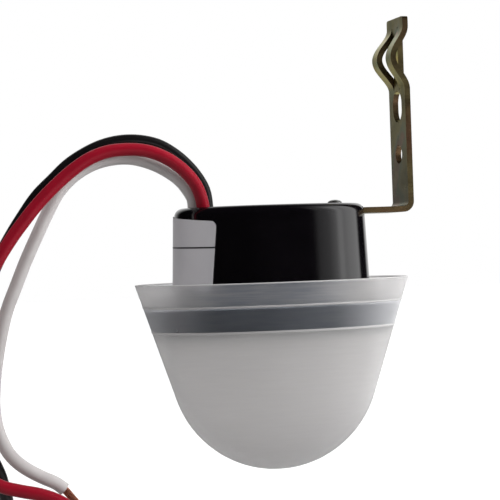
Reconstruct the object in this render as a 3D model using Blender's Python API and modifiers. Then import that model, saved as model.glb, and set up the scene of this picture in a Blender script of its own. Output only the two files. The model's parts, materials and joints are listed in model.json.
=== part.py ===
"""Photocell switch: a relay photo control with an oval body, a deep frosted cap and a strap bracket.

Units are metres and +Z is up, as the switch hangs in its bracket with the dome of the cap below.
Pieces are modelled about the middle of the cap's rim: X along the oval, Y through it, Z up. One
empty carries them all, so that the model's origin lies on the outer face of the bracket, between
its round hole and its slot.
"""

import math

import bmesh
import bpy
import numpy as np
from mathutils import Matrix, Vector

# Fits
CLEARANCE = 0.0003
LEAD_HOLE_GAP = 0.0003

# Plan of the oval pieces: 2 is an ellipse, more is squarer
OVAL_POWER = 2.15
OVAL_SEGMENTS = 56

# Plan of the body at its top face, and the open trough from there to the cap's rim
BODY_HALF_LENGTH = 0.0262
BODY_HALF_DEPTH = 0.0200
TROUGH_LENGTH = 0.0115
TROUGH_DEPTH = 0.0094

# Translucent cap, measured at its rim
CAP_HALF_LENGTH = BODY_HALF_LENGTH + TROUGH_LENGTH
CAP_HALF_DEPTH = BODY_HALF_DEPTH + TROUGH_DEPTH
CAP_HEIGHT = 0.0515
CAP_TAPER = math.radians(18.1)
CAP_WALL = 0.0013
CAP_DOME_STEPS = 9
SNAP_BEAD_DEPTH = 0.0006
SNAP_BEAD_HEIGHT = 0.0010
SEAT_LEDGE_DEPTH = 0.0011

# Body housing
BODY_TOP = 0.0204
BODY_DRAFT = math.radians(2.25)
BODY_FILLET = 0.0022
BODY_FILLET_STEPS = 5
BODY_WALL = 0.0020
FLANGE_TOP = -0.0070
FLANGE_HEIGHT = 0.0057
FLANGE_WEB = 0.0018
FLANGE_SKIRT = 0.0018

# Circuit board and the ledge that it is held against
BOARD_TOP = -0.0024
BOARD_THICKNESS = 0.0016
BOARD_LEDGE = 0.0011

# Sensor plate, which closes the body under the cap
PLATE_THICKNESS = 0.0018
PLATE_RING = 0.0012

# Plate screws and the bosses that take them
BOSS_X = 0.0060
BOSS_INSET = 0.0026
BOSS_RADIUS = 0.0028
SCREW_RADIUS = 0.0014
SCREW_LENGTH = 0.0085
SCREW_HEAD_RADIUS = 0.0026
SCREW_HEAD_HEIGHT = 0.0019

# Strap bracket: flat in a channel of the body, one step down, one bend up
STRAP_WIDTH = 0.0130
STRAP_THICKNESS = 0.0016
STRAP_FACE_X = BODY_HALF_LENGTH + 0.0135
STRAP_TIP_Z = 0.0717
STRAP_END_MARGIN = 0.0060
STRAP_STEP_X = BODY_HALF_LENGTH - 0.0039
STRAP_STEP_LENGTH = 0.0018
STRAP_STEP_DROP = 0.0012
STRAP_STEP_RADIUS = 0.0012
STRAP_BEND_RADIUS = 0.0022
STRAP_TIP_CORNER = 0.0008
STRAP_END_CORNER = 0.0030
HANG_HOLE_Z = 0.0338
HANG_HOLE_RADIUS = 0.0026
SLOT_Z = 0.0471
SLOT_LENGTH = 0.0088
SLOT_WIDTH = 0.0070

# The slit end of the strap: its middle strand stays flat and the two outer ones are pressed into bows
BOW_BOTTOM = 0.0516
BOW_LENGTH = 0.0175
BOW_RISE_BACK = 0.0047
BOW_RISE_FRONT = 0.0038
BOW_STEPS = 16
SLIT_GAP = 0.0004

# Rivet
RIVET_X = BODY_HALF_LENGTH - 0.0074
RIVET_SHANK_RADIUS = 0.0015
RIVET_HEAD_RADIUS = 0.0020
RIVET_HEAD_HEIGHT = 0.0009
RIVET_TAIL_RADIUS = 0.0026
RIVET_TAIL_HEIGHT = 0.0009
WASHER_RADIUS = 0.0042
WASHER_THICKNESS = 0.0008
SEAT_BLOCK_FLOOR = 0.0022
SEAT_BLOCK_MARGIN = 0.0018

# Lead wires
WIRE_DIAMETER = 0.0035
STRAND_BUNDLE_DIAMETER = 0.0022
WIRE_HOLE_RADIUS = 0.0049
WIRE_HOLE_X = 0.0073 - BODY_HALF_LENGTH
WIRE_STRAIGHT_TOP = -0.0054
WIRE_POINT_SPACING = 0.0050

# Rating label, a thin sticker set slightly askew round the left end
LABEL_HEIGHT = 0.0186
LABEL_HALF_WRAP = 0.0170
LABEL_MIDDLE_Z = 0.0085
LABEL_TILT = math.radians(4.5)
LABEL_CORNER = 0.0022
LABEL_THICKNESS = 0.00025
LABEL_GAP = 0.00015

# Board components: their place on the board and their sizes
RELAY_PLACE = (0.0070, 0.0031)
RELAY_SIZE = (0.0190, 0.0152, 0.0153)
RELAY_EDGE = 0.0005
RELAY_PIN_RADIUS = 0.0005
RELAY_PIN_OFFSETS = (
    (-0.0070, -0.0060), (-0.0070, 0.0060), (0.0052, -0.0060), (0.0052, 0.0060), (0.0072, 0.0),
)
FILM_CAPACITOR_PLACE = (0.0034, -0.0092)
FILM_CAPACITOR_SIZE = (0.0130, 0.0048, 0.0090)
ELECTROLYTIC_PLACE = (-0.0085, 0.0065)
ELECTROLYTIC_RADIUS = 0.0040
ELECTROLYTIC_HEIGHT = 0.0120
VARISTOR_PLACE = (-0.0085, -0.0022)
VARISTOR_RADIUS = 0.0036
VARISTOR_THICKNESS = 0.0028
DIODE_PLACES = ((0.0120, -0.0093), (0.0152, -0.0089), (0.0185, 0.0004), (0.0215, 0.0004))
DIODE_RADIUS = 0.00130
DIODE_LENGTH = 0.0050
ZENER_PLACE = (-0.0145, -0.0070)
ZENER_RADIUS = 0.00095
ZENER_LENGTH = 0.0040
RESISTOR_PLACES = ((-0.0083, -0.0075, 0.0), (-0.0083, -0.0108, 0.0), (-0.0142, 0.0092, 90.0))
RESISTOR_RADIUS = 0.0012
RESISTOR_LENGTH = 0.0063
RESISTOR_BULGE = 0.14
TRANSISTOR_PLACE = (0.0005, 0.0136)
TRANSISTOR_RADIUS = 0.0023
TRANSISTOR_HEIGHT = 0.0048
TRANSISTOR_PITCH = 0.0017
CELL_PLACE = (-0.0040, -0.0005)
CELL_RADIUS = 0.00255
CELL_THICKNESS = 0.0021
CELL_WINDOW_RADIUS = 0.0032
LEAD_RADIUS = 0.00035
LEAD_BEND = 0.0013
LEAD_STANDOFF = 0.0006
SOLDER_MARGIN = 0.00045
SOLDER_HEIGHT = 0.0010
SOLDER_SINK = 0.0001
CASE_EDGE = 0.0005

# Routes of the wires from the middle of the wire hole's mouth to the end of the insulation, and
# how the bare copper goes on from there
WIRE_ROUTES = {
    "black": [
        (0.0018, 0.0018, -0.0004), (0.0011, 0.0020, 0.0050), (-0.0009, 0.0023, 0.0088),
        (-0.0030, 0.0026, 0.0115), (-0.0070, 0.0029, 0.0151), (-0.0109, 0.0031, 0.0174),
        (-0.0150, 0.0031, 0.0185), (-0.0191, 0.0031, 0.0188), (-0.0232, 0.0031, 0.0184),
        (-0.0272, 0.0031, 0.0173), (-0.0313, 0.0031, 0.0154), (-0.0356, 0.0031, 0.0127),
        (-0.0399, 0.0031, 0.0088), (-0.0443, 0.0031, 0.0046), (-0.0486, 0.0031, -0.0012),
        (-0.0531, 0.0031, -0.0082), (-0.0576, 0.0031, -0.0171), (-0.0611, 0.0031, -0.0275),
        (-0.0636, 0.0031, -0.0380), (-0.0641, 0.0031, -0.0484), (-0.0623, 0.0031, -0.0574),
        (-0.0589, 0.0031, -0.0644), (-0.0568, 0.0031, -0.0694), (-0.0555, 0.0031, -0.0749),
        (-0.0541, 0.0031, -0.0809), (-0.0519, 0.0031, -0.0864),
    ],
    "red": [
        (-0.0004, -0.0031, -0.0004), (-0.0024, -0.0033, 0.0062), (-0.0053, -0.0035, 0.0098),
        (-0.0101, -0.0037, 0.0134), (-0.0155, -0.0037, 0.0155), (-0.0220, -0.0037, 0.0160),
        (-0.0264, -0.0037, 0.0155), (-0.0305, -0.0037, 0.0141), (-0.0354, -0.0037, 0.0111),
        (-0.0398, -0.0037, 0.0075), (-0.0442, -0.0037, 0.0033), (-0.0466, -0.0037, 0.0007),
        (-0.0490, -0.0037, -0.0022), (-0.0514, -0.0037, -0.0052), (-0.0557, -0.0037, -0.0114),
        (-0.0611, -0.0037, -0.0212), (-0.0653, -0.0037, -0.0316), (-0.0679, -0.0037, -0.0429),
        (-0.0677, -0.0037, -0.0549), (-0.0639, -0.0037, -0.0654), (-0.0579, -0.0037, -0.0711),
        (-0.0524, -0.0037, -0.0729), (-0.0472, -0.0037, -0.0742), (-0.0428, -0.0037, -0.0760),
        (-0.0391, -0.0037, -0.0784),
    ],
    "white": [
        (-0.0021, 0.0007, -0.0004), (-0.0024, 0.0006, 0.0026), (-0.0035, 0.0005, 0.0046),
        (-0.0054, 0.0004, 0.0071), (-0.0100, 0.0003, 0.0106), (-0.0145, 0.0003, 0.0127),
        (-0.0195, 0.0003, 0.0139), (-0.0241, 0.0003, 0.0138), (-0.0289, 0.0003, 0.0127),
        (-0.0338, 0.0003, 0.0102), (-0.0386, 0.0003, 0.0058), (-0.0422, 0.0003, -0.0002),
        (-0.0454, 0.0003, -0.0065), (-0.0484, 0.0003, -0.0127), (-0.0511, 0.0003, -0.0190),
        (-0.0537, 0.0003, -0.0252), (-0.0555, 0.0003, -0.0315), (-0.0568, 0.0003, -0.0377),
        (-0.0578, 0.0003, -0.0448), (-0.0581, 0.0003, -0.0514), (-0.0574, 0.0003, -0.0567),
        (-0.0560, 0.0003, -0.0607), (-0.0545, 0.0003, -0.0635), (-0.0518, 0.0003, -0.0664),
        (-0.0495, 0.0003, -0.0681), (-0.0459, 0.0003, -0.0702), (-0.0422, 0.0003, -0.0721),
        (-0.0402, 0.0003, -0.0737),
    ],
}
STRAND_ENDS = {
    "black": [(0.0010, -0.0020), (0.0022, -0.0048), (0.0028, -0.0078)],
    "red": [(0.0019, -0.0016), (0.0042, -0.0036), (0.0060, -0.0060)],
    "white": [(0.0015, -0.0018), (0.0031, -0.0040), (0.0040, -0.0068)],
}

PARTS_COLLECTION = "photocell_switch"
CUTTERS_COLLECTION = "photocell_switch_cutters"


class Model:
    """The scene's two collections and the empty that every piece hangs from."""

    def __init__(self, origin):
        for old in list(bpy.data.objects):
            bpy.data.objects.remove(old, do_unlink=True)
        self.parts = self.add_collection(PARTS_COLLECTION)
        self.cutters = self.add_collection(CUTTERS_COLLECTION)
        self.root = bpy.data.objects.new("rim_centre", None)
        self.root.location = origin
        self.parts.objects.link(self.root)

    @staticmethod
    def add_collection(name):
        collection = bpy.data.collections.new(name)
        bpy.context.scene.collection.children.link(collection)
        return collection

    def add(self, name, data, material=None):
        """Links a mesh or a curve as a part when it has a material, and else as a cutter."""
        piece = bpy.data.objects.new(name, data)
        piece.parent = self.root
        if material is None:
            self.cutters.objects.link(piece)
            piece.hide_render = True
            piece.display_type = "WIRE"
        else:
            self.parts.objects.link(piece)
            data.materials.append(material)
        return piece

    def evaluated_mesh(self, piece):
        """Mesh of a piece with its modifiers applied, with curve caps welded."""
        bpy.context.view_layer.update()
        graph = bpy.context.evaluated_depsgraph_get()
        mesh = bpy.data.meshes.new_from_object(piece.evaluated_get(graph))
        work = bmesh.new()
        work.from_mesh(mesh)
        bmesh.ops.remove_doubles(work, verts=work.verts, dist=0.000001)
        bmesh.ops.recalc_face_normals(work, faces=work.faces)
        work.to_mesh(mesh)
        work.free()
        return mesh

    def solid_from_outline(self, name, outline, thickness, turn, material=None):
        """Prism of a flat outline: a filled 2D curve, extruded both ways, turned into place."""
        curve = bpy.data.curves.new(name + "_outline", "CURVE")
        curve.dimensions = "2D"
        curve.fill_mode = "BOTH"
        curve.extrude = thickness / 2
        spline = curve.splines.new("POLY")
        spline.points.add(len(outline) - 1)
        for point, (u, v) in zip(spline.points, outline):
            point.co = (u, v, 0.0, 1.0)
        spline.use_cyclic_u = True
        flat = self.add(name + "_flat", curve)
        mesh = self.evaluated_mesh(flat)
        bpy.data.objects.remove(flat, do_unlink=True)
        mesh.transform(turn)
        return self.add(name, mesh, material)


def finish(name, colour, roughness, metallic=0.0, transmission=0.0):
    """Principled material of one sub-part."""
    material = bpy.data.materials.new(name)
    material.use_nodes = True
    shader = material.node_tree.nodes["Principled BSDF"]
    shader.inputs["Base Color"].default_value = (*colour, 1.0)
    shader.inputs["Roughness"].default_value = roughness
    shader.inputs["Metallic"].default_value = metallic
    shader.inputs["Transmission Weight"].default_value = transmission
    material.diffuse_color = (*colour, 1.0)
    return material


def shade(mesh, sharp_angle=math.radians(35)):
    """Smooth shading that keeps the real edges."""
    mesh.shade_smooth()
    mesh.set_sharp_from_angle(angle=sharp_angle)


def mesh_from(name, work, smooth=True):
    """Mesh from a finished bmesh, with its faces pointing out."""
    bmesh.ops.recalc_face_normals(work, faces=work.faces)
    mesh = bpy.data.meshes.new(name)
    work.to_mesh(mesh)
    work.free()
    if smooth:
        shade(mesh)
    return mesh


def oval_point(half_length, half_depth, angle):
    """Point of the oval plan at an angle about Z."""
    exponent = 2.0 / OVAL_POWER
    cosine, sine = math.cos(angle), math.sin(angle)
    x = half_length * math.copysign(abs(cosine) ** exponent, cosine)
    y = half_depth * math.copysign(abs(sine) ** exponent, sine)
    return x, y


def oval_loft(name, stations):
    """Solid lofted through ovals given as (half length, half depth, height).

    An oval of no size closes an end: as one flat face where it lies level with the next oval,
    and else as a pole.
    """
    work = bmesh.new()
    rings = []
    for half_length, half_depth, height in stations:
        if half_length <= 0.0 or half_depth <= 0.0:
            rings.append([work.verts.new((0.0, 0.0, height))])
            continue
        ring = []
        for step in range(OVAL_SEGMENTS):
            x, y = oval_point(half_length, half_depth, math.tau * step / OVAL_SEGMENTS)
            ring.append(work.verts.new((x, y, height)))
        rings.append(ring)
    for upper, lower in zip(rings[:-1], rings[1:]):
        join_rings(work, upper, lower)
    return mesh_from(name, work)


def join_rings(work, upper, lower):
    """Faces between two rings of vertices, either of which may be a single middle vertex."""
    middle, ring = (upper, lower) if len(upper) == 1 else (lower, upper)
    if len(middle) == 1 and math.isclose(middle[0].co.z, ring[0].co.z, abs_tol=1e-7):
        work.verts.remove(middle[0])
        work.faces.new(ring)
        return
    for step in range(OVAL_SEGMENTS):
        after = (step + 1) % OVAL_SEGMENTS
        if len(upper) == 1:
            work.faces.new((upper[0], lower[step], lower[after]))
        elif len(lower) == 1:
            work.faces.new((upper[step], lower[0], upper[after]))
        else:
            work.faces.new((upper[step], lower[step], lower[after], upper[after]))


def add_box(work, centre, size):
    """Box primitive added to a bmesh."""
    matrix = Matrix.Translation(centre) @ Matrix.Diagonal((*size, 1.0))
    return bmesh.ops.create_cube(work, size=1.0, matrix=matrix)["verts"]


def add_cylinder(work, centre, radius, height, axis="Z", segments=16, top_radius=None):
    """Cylinder or cone primitive added to a bmesh, with its middle at centre."""
    turns = {"X": Matrix.Rotation(math.pi / 2, 4, "Y"), "Y": Matrix.Rotation(math.pi / 2, 4, "X")}
    matrix = Matrix.Translation(centre) @ turns.get(axis, Matrix.Identity(4))
    return bmesh.ops.create_cone(
        work, cap_ends=True, segments=segments, radius1=radius,
        radius2=radius if top_radius is None else top_radius, depth=height, matrix=matrix,
    )["verts"]


def turned(model, name, profile, place, material, steps=24):
    """Turned piece: a profile of (radius, height) from top to bottom, spun by a Screw modifier."""
    mesh = bpy.data.meshes.new(name)
    points = [(radius, 0.0, height) for radius, height in profile]
    closed = profile[0][0] > 0.0
    count = len(points)
    edges = [(step, (step + 1) % count) for step in range(count if closed else count - 1)]
    mesh.from_pydata(points, edges, [])
    piece = model.add(name, mesh, material)
    piece.location = place
    screw = piece.modifiers.new("turn", "SCREW")
    screw.axis = "Z"
    screw.steps = steps
    screw.render_steps = steps
    screw.use_merge_vertices = True
    screw.merge_threshold = 0.00001
    screw.use_smooth_shade = True
    return piece


def boolean(piece, tool, operation="DIFFERENCE"):
    """Cuts or joins a piece with a tool that stays in the cutters' collection."""
    modifier = piece.modifiers.new(tool.name, "BOOLEAN")
    modifier.object = tool
    modifier.operation = operation
    modifier.solver = "EXACT"
    return modifier


# Translucent cap

def cap_half_length(height):
    """Outer half length of the cap's cone at a height below its rim."""
    return CAP_HALF_LENGTH + height * math.tan(CAP_TAPER)


def cap_inner_half_length(height):
    """Inner half length of the cap's cone, its wall measured square to the cone."""
    return cap_half_length(height) - CAP_WALL / math.cos(CAP_TAPER)


def cap_profile(rim_half_length, wall):
    """Cone and round dome of one face of the cap as (half length, height), from rim to pole."""
    drop = CAP_HEIGHT * math.tan(CAP_TAPER)
    outer_radius = (CAP_HALF_LENGTH - drop) * math.cos(CAP_TAPER) / (1.0 - math.sin(CAP_TAPER))
    radius = outer_radius - wall
    centre = outer_radius - CAP_HEIGHT
    points = [(rim_half_length, 0.0)]
    for step in range(CAP_DOME_STEPS + 1):
        angle = CAP_TAPER + (math.pi / 2 - CAP_TAPER) * step / CAP_DOME_STEPS
        points.append((radius * math.cos(angle), centre - radius * math.sin(angle)))
    points[-1] = (0.0, points[-1][1])
    return points


def inner_depth_ratio():
    """Half depth of the cap's inner face for each unit of its half length."""
    return (CAP_HALF_DEPTH - CAP_WALL) / (CAP_HALF_LENGTH - CAP_WALL)


def flange_bottom():
    return FLANGE_TOP - FLANGE_HEIGHT


def build_cap(model):
    """Frosted cap: cone and dome, with a snap bead above the flange and a ledge under it."""
    outer_ratio = CAP_HALF_DEPTH / CAP_HALF_LENGTH
    inner_ratio = inner_depth_ratio()
    outer = [(a, a * outer_ratio, z) for a, z in cap_profile(CAP_HALF_LENGTH, 0.0)]
    inner = cap_profile(cap_inner_half_length(0.0), CAP_WALL)
    bead_bottom = FLANGE_TOP + CLEARANCE
    ledge_top = flange_bottom() - CLEARANCE
    seat = [
        (cap_inner_half_length(0.0), 0.0),
        (cap_inner_half_length(bead_bottom + SNAP_BEAD_HEIGHT), bead_bottom + SNAP_BEAD_HEIGHT),
        (cap_inner_half_length(bead_bottom) - SNAP_BEAD_DEPTH, bead_bottom + SNAP_BEAD_HEIGHT / 2),
        (cap_inner_half_length(bead_bottom), bead_bottom),
        (cap_inner_half_length(ledge_top), ledge_top),
        (cap_inner_half_length(ledge_top) - SEAT_LEDGE_DEPTH, ledge_top),
    ]
    inner_run = [(a, a * inner_ratio, z) for a, z in seat + inner[1:]]
    stations = outer[::-1] + inner_run
    mesh = oval_loft("translucent_cap", stations)
    return model.add("translucent_cap", mesh, finish("frosted_cap", (0.66, 0.70, 0.70), 0.45, 0.0, 0.6))


# Body housing

def body_half_length(height):
    """Outer half length of the drafted body."""
    return BODY_HALF_LENGTH + (BODY_TOP - height) * math.tan(BODY_DRAFT)


def body_oval(height, inset=0.0):
    """Oval of the body at a height, moved in from the outer face by inset."""
    spread = (BODY_TOP - height) * math.tan(BODY_DRAFT)
    return (BODY_HALF_LENGTH + spread - inset, BODY_HALF_DEPTH + spread - inset, height)


def flange_oval(height, inset=0.0):
    """Oval of the flange, which follows the cap's inner face with the clearance."""
    half_length = cap_inner_half_length(height)
    half_depth = half_length * inner_depth_ratio()
    gap = CLEARANCE + inset
    return (half_length - gap, half_depth - gap, height)


def board_underside():
    return BOARD_TOP - BOARD_THICKNESS


def ledge_height():
    """Height of the body's ledge that the board is pressed against."""
    return BOARD_TOP + CLEARANCE


def web_underside():
    return FLANGE_TOP - FLANGE_WEB


def boss_places():
    """Middle of each screw boss, half sunk in the body's front and back walls."""
    reach = BODY_HALF_DEPTH - BODY_WALL - BOSS_INSET
    return [(-BOSS_X, reach), (BOSS_X, -reach)]


def strap_corners():
    """Corners of the strap's middle line in side view, from its end on the body to its tip."""
    high = BODY_TOP - STRAP_THICKNESS / 2
    low = high - STRAP_STEP_DROP
    upright = STRAP_FACE_X - STRAP_THICKNESS / 2
    return [
        (RIVET_X - STRAP_END_MARGIN, high),
        (STRAP_STEP_X, high),
        (STRAP_STEP_X + STRAP_STEP_LENGTH, low),
        (upright, low),
        (upright, BOW_BOTTOM),
    ]


def channel_outline():
    """Side view of the body's channel: the strap's lower face with the clearance, open above."""
    corners = strap_corners()
    below = STRAP_THICKNESS / 2 + CLEARANCE
    start = corners[0][0] - CLEARANCE
    step_foot = corners[2][0] - CLEARANCE
    step_head = corners[1][0] - CLEARANCE
    past_body = body_half_length(0.0) + CLEARANCE
    above = BODY_TOP + STRAP_THICKNESS
    return [
        (start, corners[0][1] - below),
        (step_head, corners[1][1] - below),
        (step_foot, corners[2][1] - below),
        (past_body, corners[3][1] - below),
        (past_body, above),
        (start, above),
    ]


def seat_block_bottom():
    """Underside of the block that backs the channel under the rivet."""
    lowest_floor = strap_corners()[2][1] - STRAP_THICKNESS / 2 - CLEARANCE
    return lowest_floor - SEAT_BLOCK_FLOOR


def body_stations():
    """Section of the body as ovals, from the middle of its top, out, down and back inside."""
    fillet = []
    for step in range(BODY_FILLET_STEPS + 1):
        angle = math.pi / 2 * step / BODY_FILLET_STEPS
        height = BODY_TOP - BODY_FILLET * (1.0 - math.cos(angle))
        fillet.append(body_oval(height, BODY_FILLET * (1.0 - math.sin(angle))))
    ceiling = BODY_TOP - BODY_WALL
    thick = BODY_WALL + BOARD_LEDGE
    return (
        [(0.0, 0.0, BODY_TOP)]
        + fillet
        + [
            body_oval(FLANGE_TOP),
            flange_oval(FLANGE_TOP),
            flange_oval(flange_bottom()),
            flange_oval(flange_bottom(), FLANGE_SKIRT),
            flange_oval(web_underside(), FLANGE_SKIRT),
            body_oval(web_underside(), BODY_WALL),
            body_oval(ledge_height(), BODY_WALL),
            body_oval(ledge_height(), thick),
            body_oval(ceiling, thick),
            (0.0, 0.0, ceiling),
        ]
    )


def build_body(model):
    """Body housing: drafted oval shell with a flange, a strap channel, a wire hole and bosses."""
    mesh = oval_loft("body_housing", body_stations())
    body = model.add("body_housing", mesh, finish("black_moulding", (0.012, 0.012, 0.013), 0.22))

    block = bmesh.new()
    block_start = RIVET_X - STRAP_END_MARGIN - SEAT_BLOCK_MARGIN
    block_end = BODY_HALF_LENGTH - BODY_WALL
    block_top = BODY_TOP - BODY_WALL / 2
    bottom = seat_block_bottom()
    half_block = STRAP_WIDTH / 2 + SEAT_BLOCK_MARGIN
    add_box(
        block,
        ((block_start + block_end) / 2, 0.0, (block_top + bottom) / 2),
        (block_end - block_start, 2 * half_block, block_top - bottom),
    )
    boolean(body, model.add("rivet_seat_block", mesh_from("rivet_seat_block", block, False)), "UNION")

    bosses = bmesh.new()
    boss_top = BODY_TOP - BODY_WALL / 2
    boss_bottom = web_underside()
    boss_middle = (boss_top + boss_bottom) / 2
    for x, y in boss_places():
        add_cylinder(bosses, (x, y, boss_middle), BOSS_RADIUS, boss_top - boss_bottom, segments=20)
    boolean(body, model.add("screw_bosses", mesh_from("screw_bosses", bosses)), "UNION")

    stand_up = Matrix.Rotation(math.pi / 2, 4, "X")
    channel_width = STRAP_WIDTH + 2 * CLEARANCE
    channel = model.solid_from_outline("strap_channel", channel_outline(), channel_width, stand_up)
    boolean(body, channel)

    holes = bmesh.new()
    add_cylinder(holes, (WIRE_HOLE_X, 0.0, BODY_TOP), WIRE_HOLE_RADIUS, 4 * BODY_WALL, segments=32)
    shank_hole = RIVET_SHANK_RADIUS + CLEARANCE
    hole_depth = 4 * (BODY_TOP - seat_block_bottom())
    add_cylinder(holes, (RIVET_X, 0.0, BODY_TOP), shank_hole, hole_depth, segments=20)
    pilot_depth = SCREW_LENGTH + 2 * CLEARANCE
    pilot_middle = web_underside() + pilot_depth / 2 - CLEARANCE
    for x, y in boss_places():
        add_cylinder(holes, (x, y, pilot_middle), SCREW_RADIUS + CLEARANCE, pilot_depth, segments=16)
    boolean(body, model.add("body_holes", mesh_from("body_holes", holes)))
    return body


# Sensor plate, board and screws

def plate_top():
    return web_underside() - CLEARANCE


def build_sensor_plate(model):
    """Cover inside the flange, with a ring that holds the board up and a window for the cell."""
    bottom = plate_top() - PLATE_THICKNESS
    ring_top = board_underside() - CLEARANCE
    gap = BODY_WALL + CLEARANCE
    stations = [
        (0.0, 0.0, bottom),
        flange_oval(bottom, FLANGE_SKIRT + CLEARANCE),
        flange_oval(plate_top(), FLANGE_SKIRT + CLEARANCE),
        body_oval(plate_top(), gap),
        body_oval(ring_top, gap),
        body_oval(ring_top, gap + PLATE_RING),
        body_oval(plate_top(), gap + PLATE_RING),
        (0.0, 0.0, plate_top()),
    ]
    cover = finish("inner_cover", (0.02, 0.02, 0.02), 0.5)
    plate = model.add("sensor_plate", oval_loft("sensor_plate", stations), cover)
    holes = bmesh.new()
    middle = (plate_top() + bottom) / 2
    add_cylinder(holes, (*CELL_PLACE, middle), CELL_WINDOW_RADIUS, 3 * PLATE_THICKNESS, segments=24)
    for x, y in boss_places():
        add_cylinder(holes, (x, y, middle), SCREW_RADIUS + CLEARANCE, 3 * PLATE_THICKNESS, segments=16)
    boolean(plate, model.add("plate_holes", mesh_from("plate_holes", holes)))
    relief = bmesh.new()
    relief_height = ring_top - plate_top() + CLEARANCE
    relief_middle = plate_top() + relief_height / 2
    for x, y in boss_places():
        add_cylinder(relief, (x, y, relief_middle), BOSS_RADIUS + CLEARANCE, relief_height, segments=20)
    boolean(plate, model.add("plate_boss_reliefs", mesh_from("plate_boss_reliefs", relief)))
    return plate


def component_leads():
    """Every lead that goes through the board, as (x, y, radius)."""
    leads = []
    relay_x, relay_y = RELAY_PLACE
    for dx, dy in RELAY_PIN_OFFSETS:
        leads.append((relay_x + dx, relay_y + dy, RELAY_PIN_RADIUS))
    two_legged = (
        (FILM_CAPACITOR_PLACE, FILM_CAPACITOR_SIZE[0] / 2 - LEAD_BEND),
        (ELECTROLYTIC_PLACE, ELECTROLYTIC_RADIUS / 2),
        (VARISTOR_PLACE, VARISTOR_RADIUS - LEAD_BEND),
    )
    for (x, y), reach in two_legged:
        leads.append((x - reach, y, LEAD_RADIUS))
        leads.append((x + reach, y, LEAD_RADIUS))
    for x, y in DIODE_PLACES:
        leads.extend(axial_leads(x, y, 90.0, DIODE_LENGTH))
    leads.extend(axial_leads(*ZENER_PLACE, 90.0, ZENER_LENGTH))
    for x, y, turn in RESISTOR_PLACES:
        leads.extend(axial_leads(x, y, turn, RESISTOR_LENGTH))
    x, y = TRANSISTOR_PLACE
    for step in (-1, 0, 1):
        leads.append((x + step * TRANSISTOR_PITCH, y, LEAD_RADIUS))
    return leads


def cell_leads():
    """Leads of the photoresistor, which hangs under the board and is soldered above it."""
    x, y = CELL_PLACE
    reach = CELL_RADIUS - LEAD_BEND / 2
    return [(x - reach, y, LEAD_RADIUS), (x + reach, y, LEAD_RADIUS)]


def axial_leads(x, y, turn, body_length):
    """The two lead holes of an axial component."""
    reach = body_length / 2 + LEAD_BEND
    dx = reach * math.cos(math.radians(turn))
    dy = reach * math.sin(math.radians(turn))
    return [(x - dx, y - dy, LEAD_RADIUS), (x + dx, y + dy, LEAD_RADIUS)]


def build_board(model):
    """Oval circuit board with its lead holes and a notch for each boss."""
    edge = BODY_WALL + CLEARANCE
    stations = [
        (0.0, 0.0, BOARD_TOP),
        body_oval(BOARD_TOP, edge),
        body_oval(board_underside(), edge),
        (0.0, 0.0, board_underside()),
    ]
    laminate = finish("board_laminate", (0.34, 0.24, 0.11), 0.45)
    board = model.add("circuit_board", oval_loft("circuit_board", stations), laminate)
    middle = (BOARD_TOP + board_underside()) / 2
    cuts = bmesh.new()
    for x, y, radius in component_leads() + cell_leads():
        add_cylinder(cuts, (x, y, middle), radius + LEAD_HOLE_GAP, 3 * BOARD_THICKNESS, segments=6)
    for x, y in boss_places():
        add_cylinder(cuts, (x, y, middle), BOSS_RADIUS + CLEARANCE, 3 * BOARD_THICKNESS, segments=20)
    boolean(board, model.add("board_holes", mesh_from("board_holes", cuts)))
    joints = bmesh.new()
    top = board_underside() + SOLDER_SINK
    for x, y, radius in component_leads():
        add_cylinder(
            joints, (x, y, top - SOLDER_HEIGHT / 2), radius, SOLDER_HEIGHT, segments=6,
            top_radius=radius + SOLDER_MARGIN,
        )
    boolean(board, model.add("solder_joints", mesh_from("solder_joints", joints)), "UNION")
    return board


def lead_end():
    """Height where every lead ends in its board hole, just above its solder joint."""
    return board_underside() + SOLDER_SINK + CLEARANCE


def build_plate_screws(model):
    """Pan-head screw at each boss, a turned solid."""
    head_top = plate_top() - PLATE_THICKNESS - CLEARANCE
    tip = web_underside() + SCREW_LENGTH - CLEARANCE
    profile = [
        (0.0, tip),
        (SCREW_RADIUS * 0.55, tip - SCREW_RADIUS * 0.2),
        (SCREW_RADIUS, tip - SCREW_RADIUS),
        (SCREW_RADIUS, head_top),
        (SCREW_HEAD_RADIUS, head_top),
        (SCREW_HEAD_RADIUS, head_top - SCREW_HEAD_HEIGHT * 0.45),
        (SCREW_HEAD_RADIUS * 0.72, head_top - SCREW_HEAD_HEIGHT * 0.9),
        (0.0, head_top - SCREW_HEAD_HEIGHT),
    ]
    steel = finish("screw_steel", (0.55, 0.55, 0.54), 0.35, 1.0)
    for side, (x, y) in zip(("back", "front"), boss_places()):
        turned(model, "plate_screw_" + side, profile, (x, y, 0.0), steel, 20)


# Board components

def upright_leads(work, places, top, bottom, radius=LEAD_RADIUS):
    """Straight round leads between a component and the board."""
    for x, y in places:
        add_cylinder(work, (x, y, (top + bottom) / 2), radius, top - bottom, segments=6)


def two_lead_places(place, reach):
    x, y = place
    return [(x - reach, y), (x + reach, y)]


def legged_component(model, name, body_mesh, lead_places, material, lead_top):
    """Moulded body united with its leads, which end in the board."""
    piece = model.add(name, body_mesh, material)
    leads = bmesh.new()
    upright_leads(leads, lead_places, lead_top, lead_end())
    boolean(piece, model.add(name + "_leads", mesh_from(name + "_leads", leads)), "UNION")
    return piece


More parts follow.
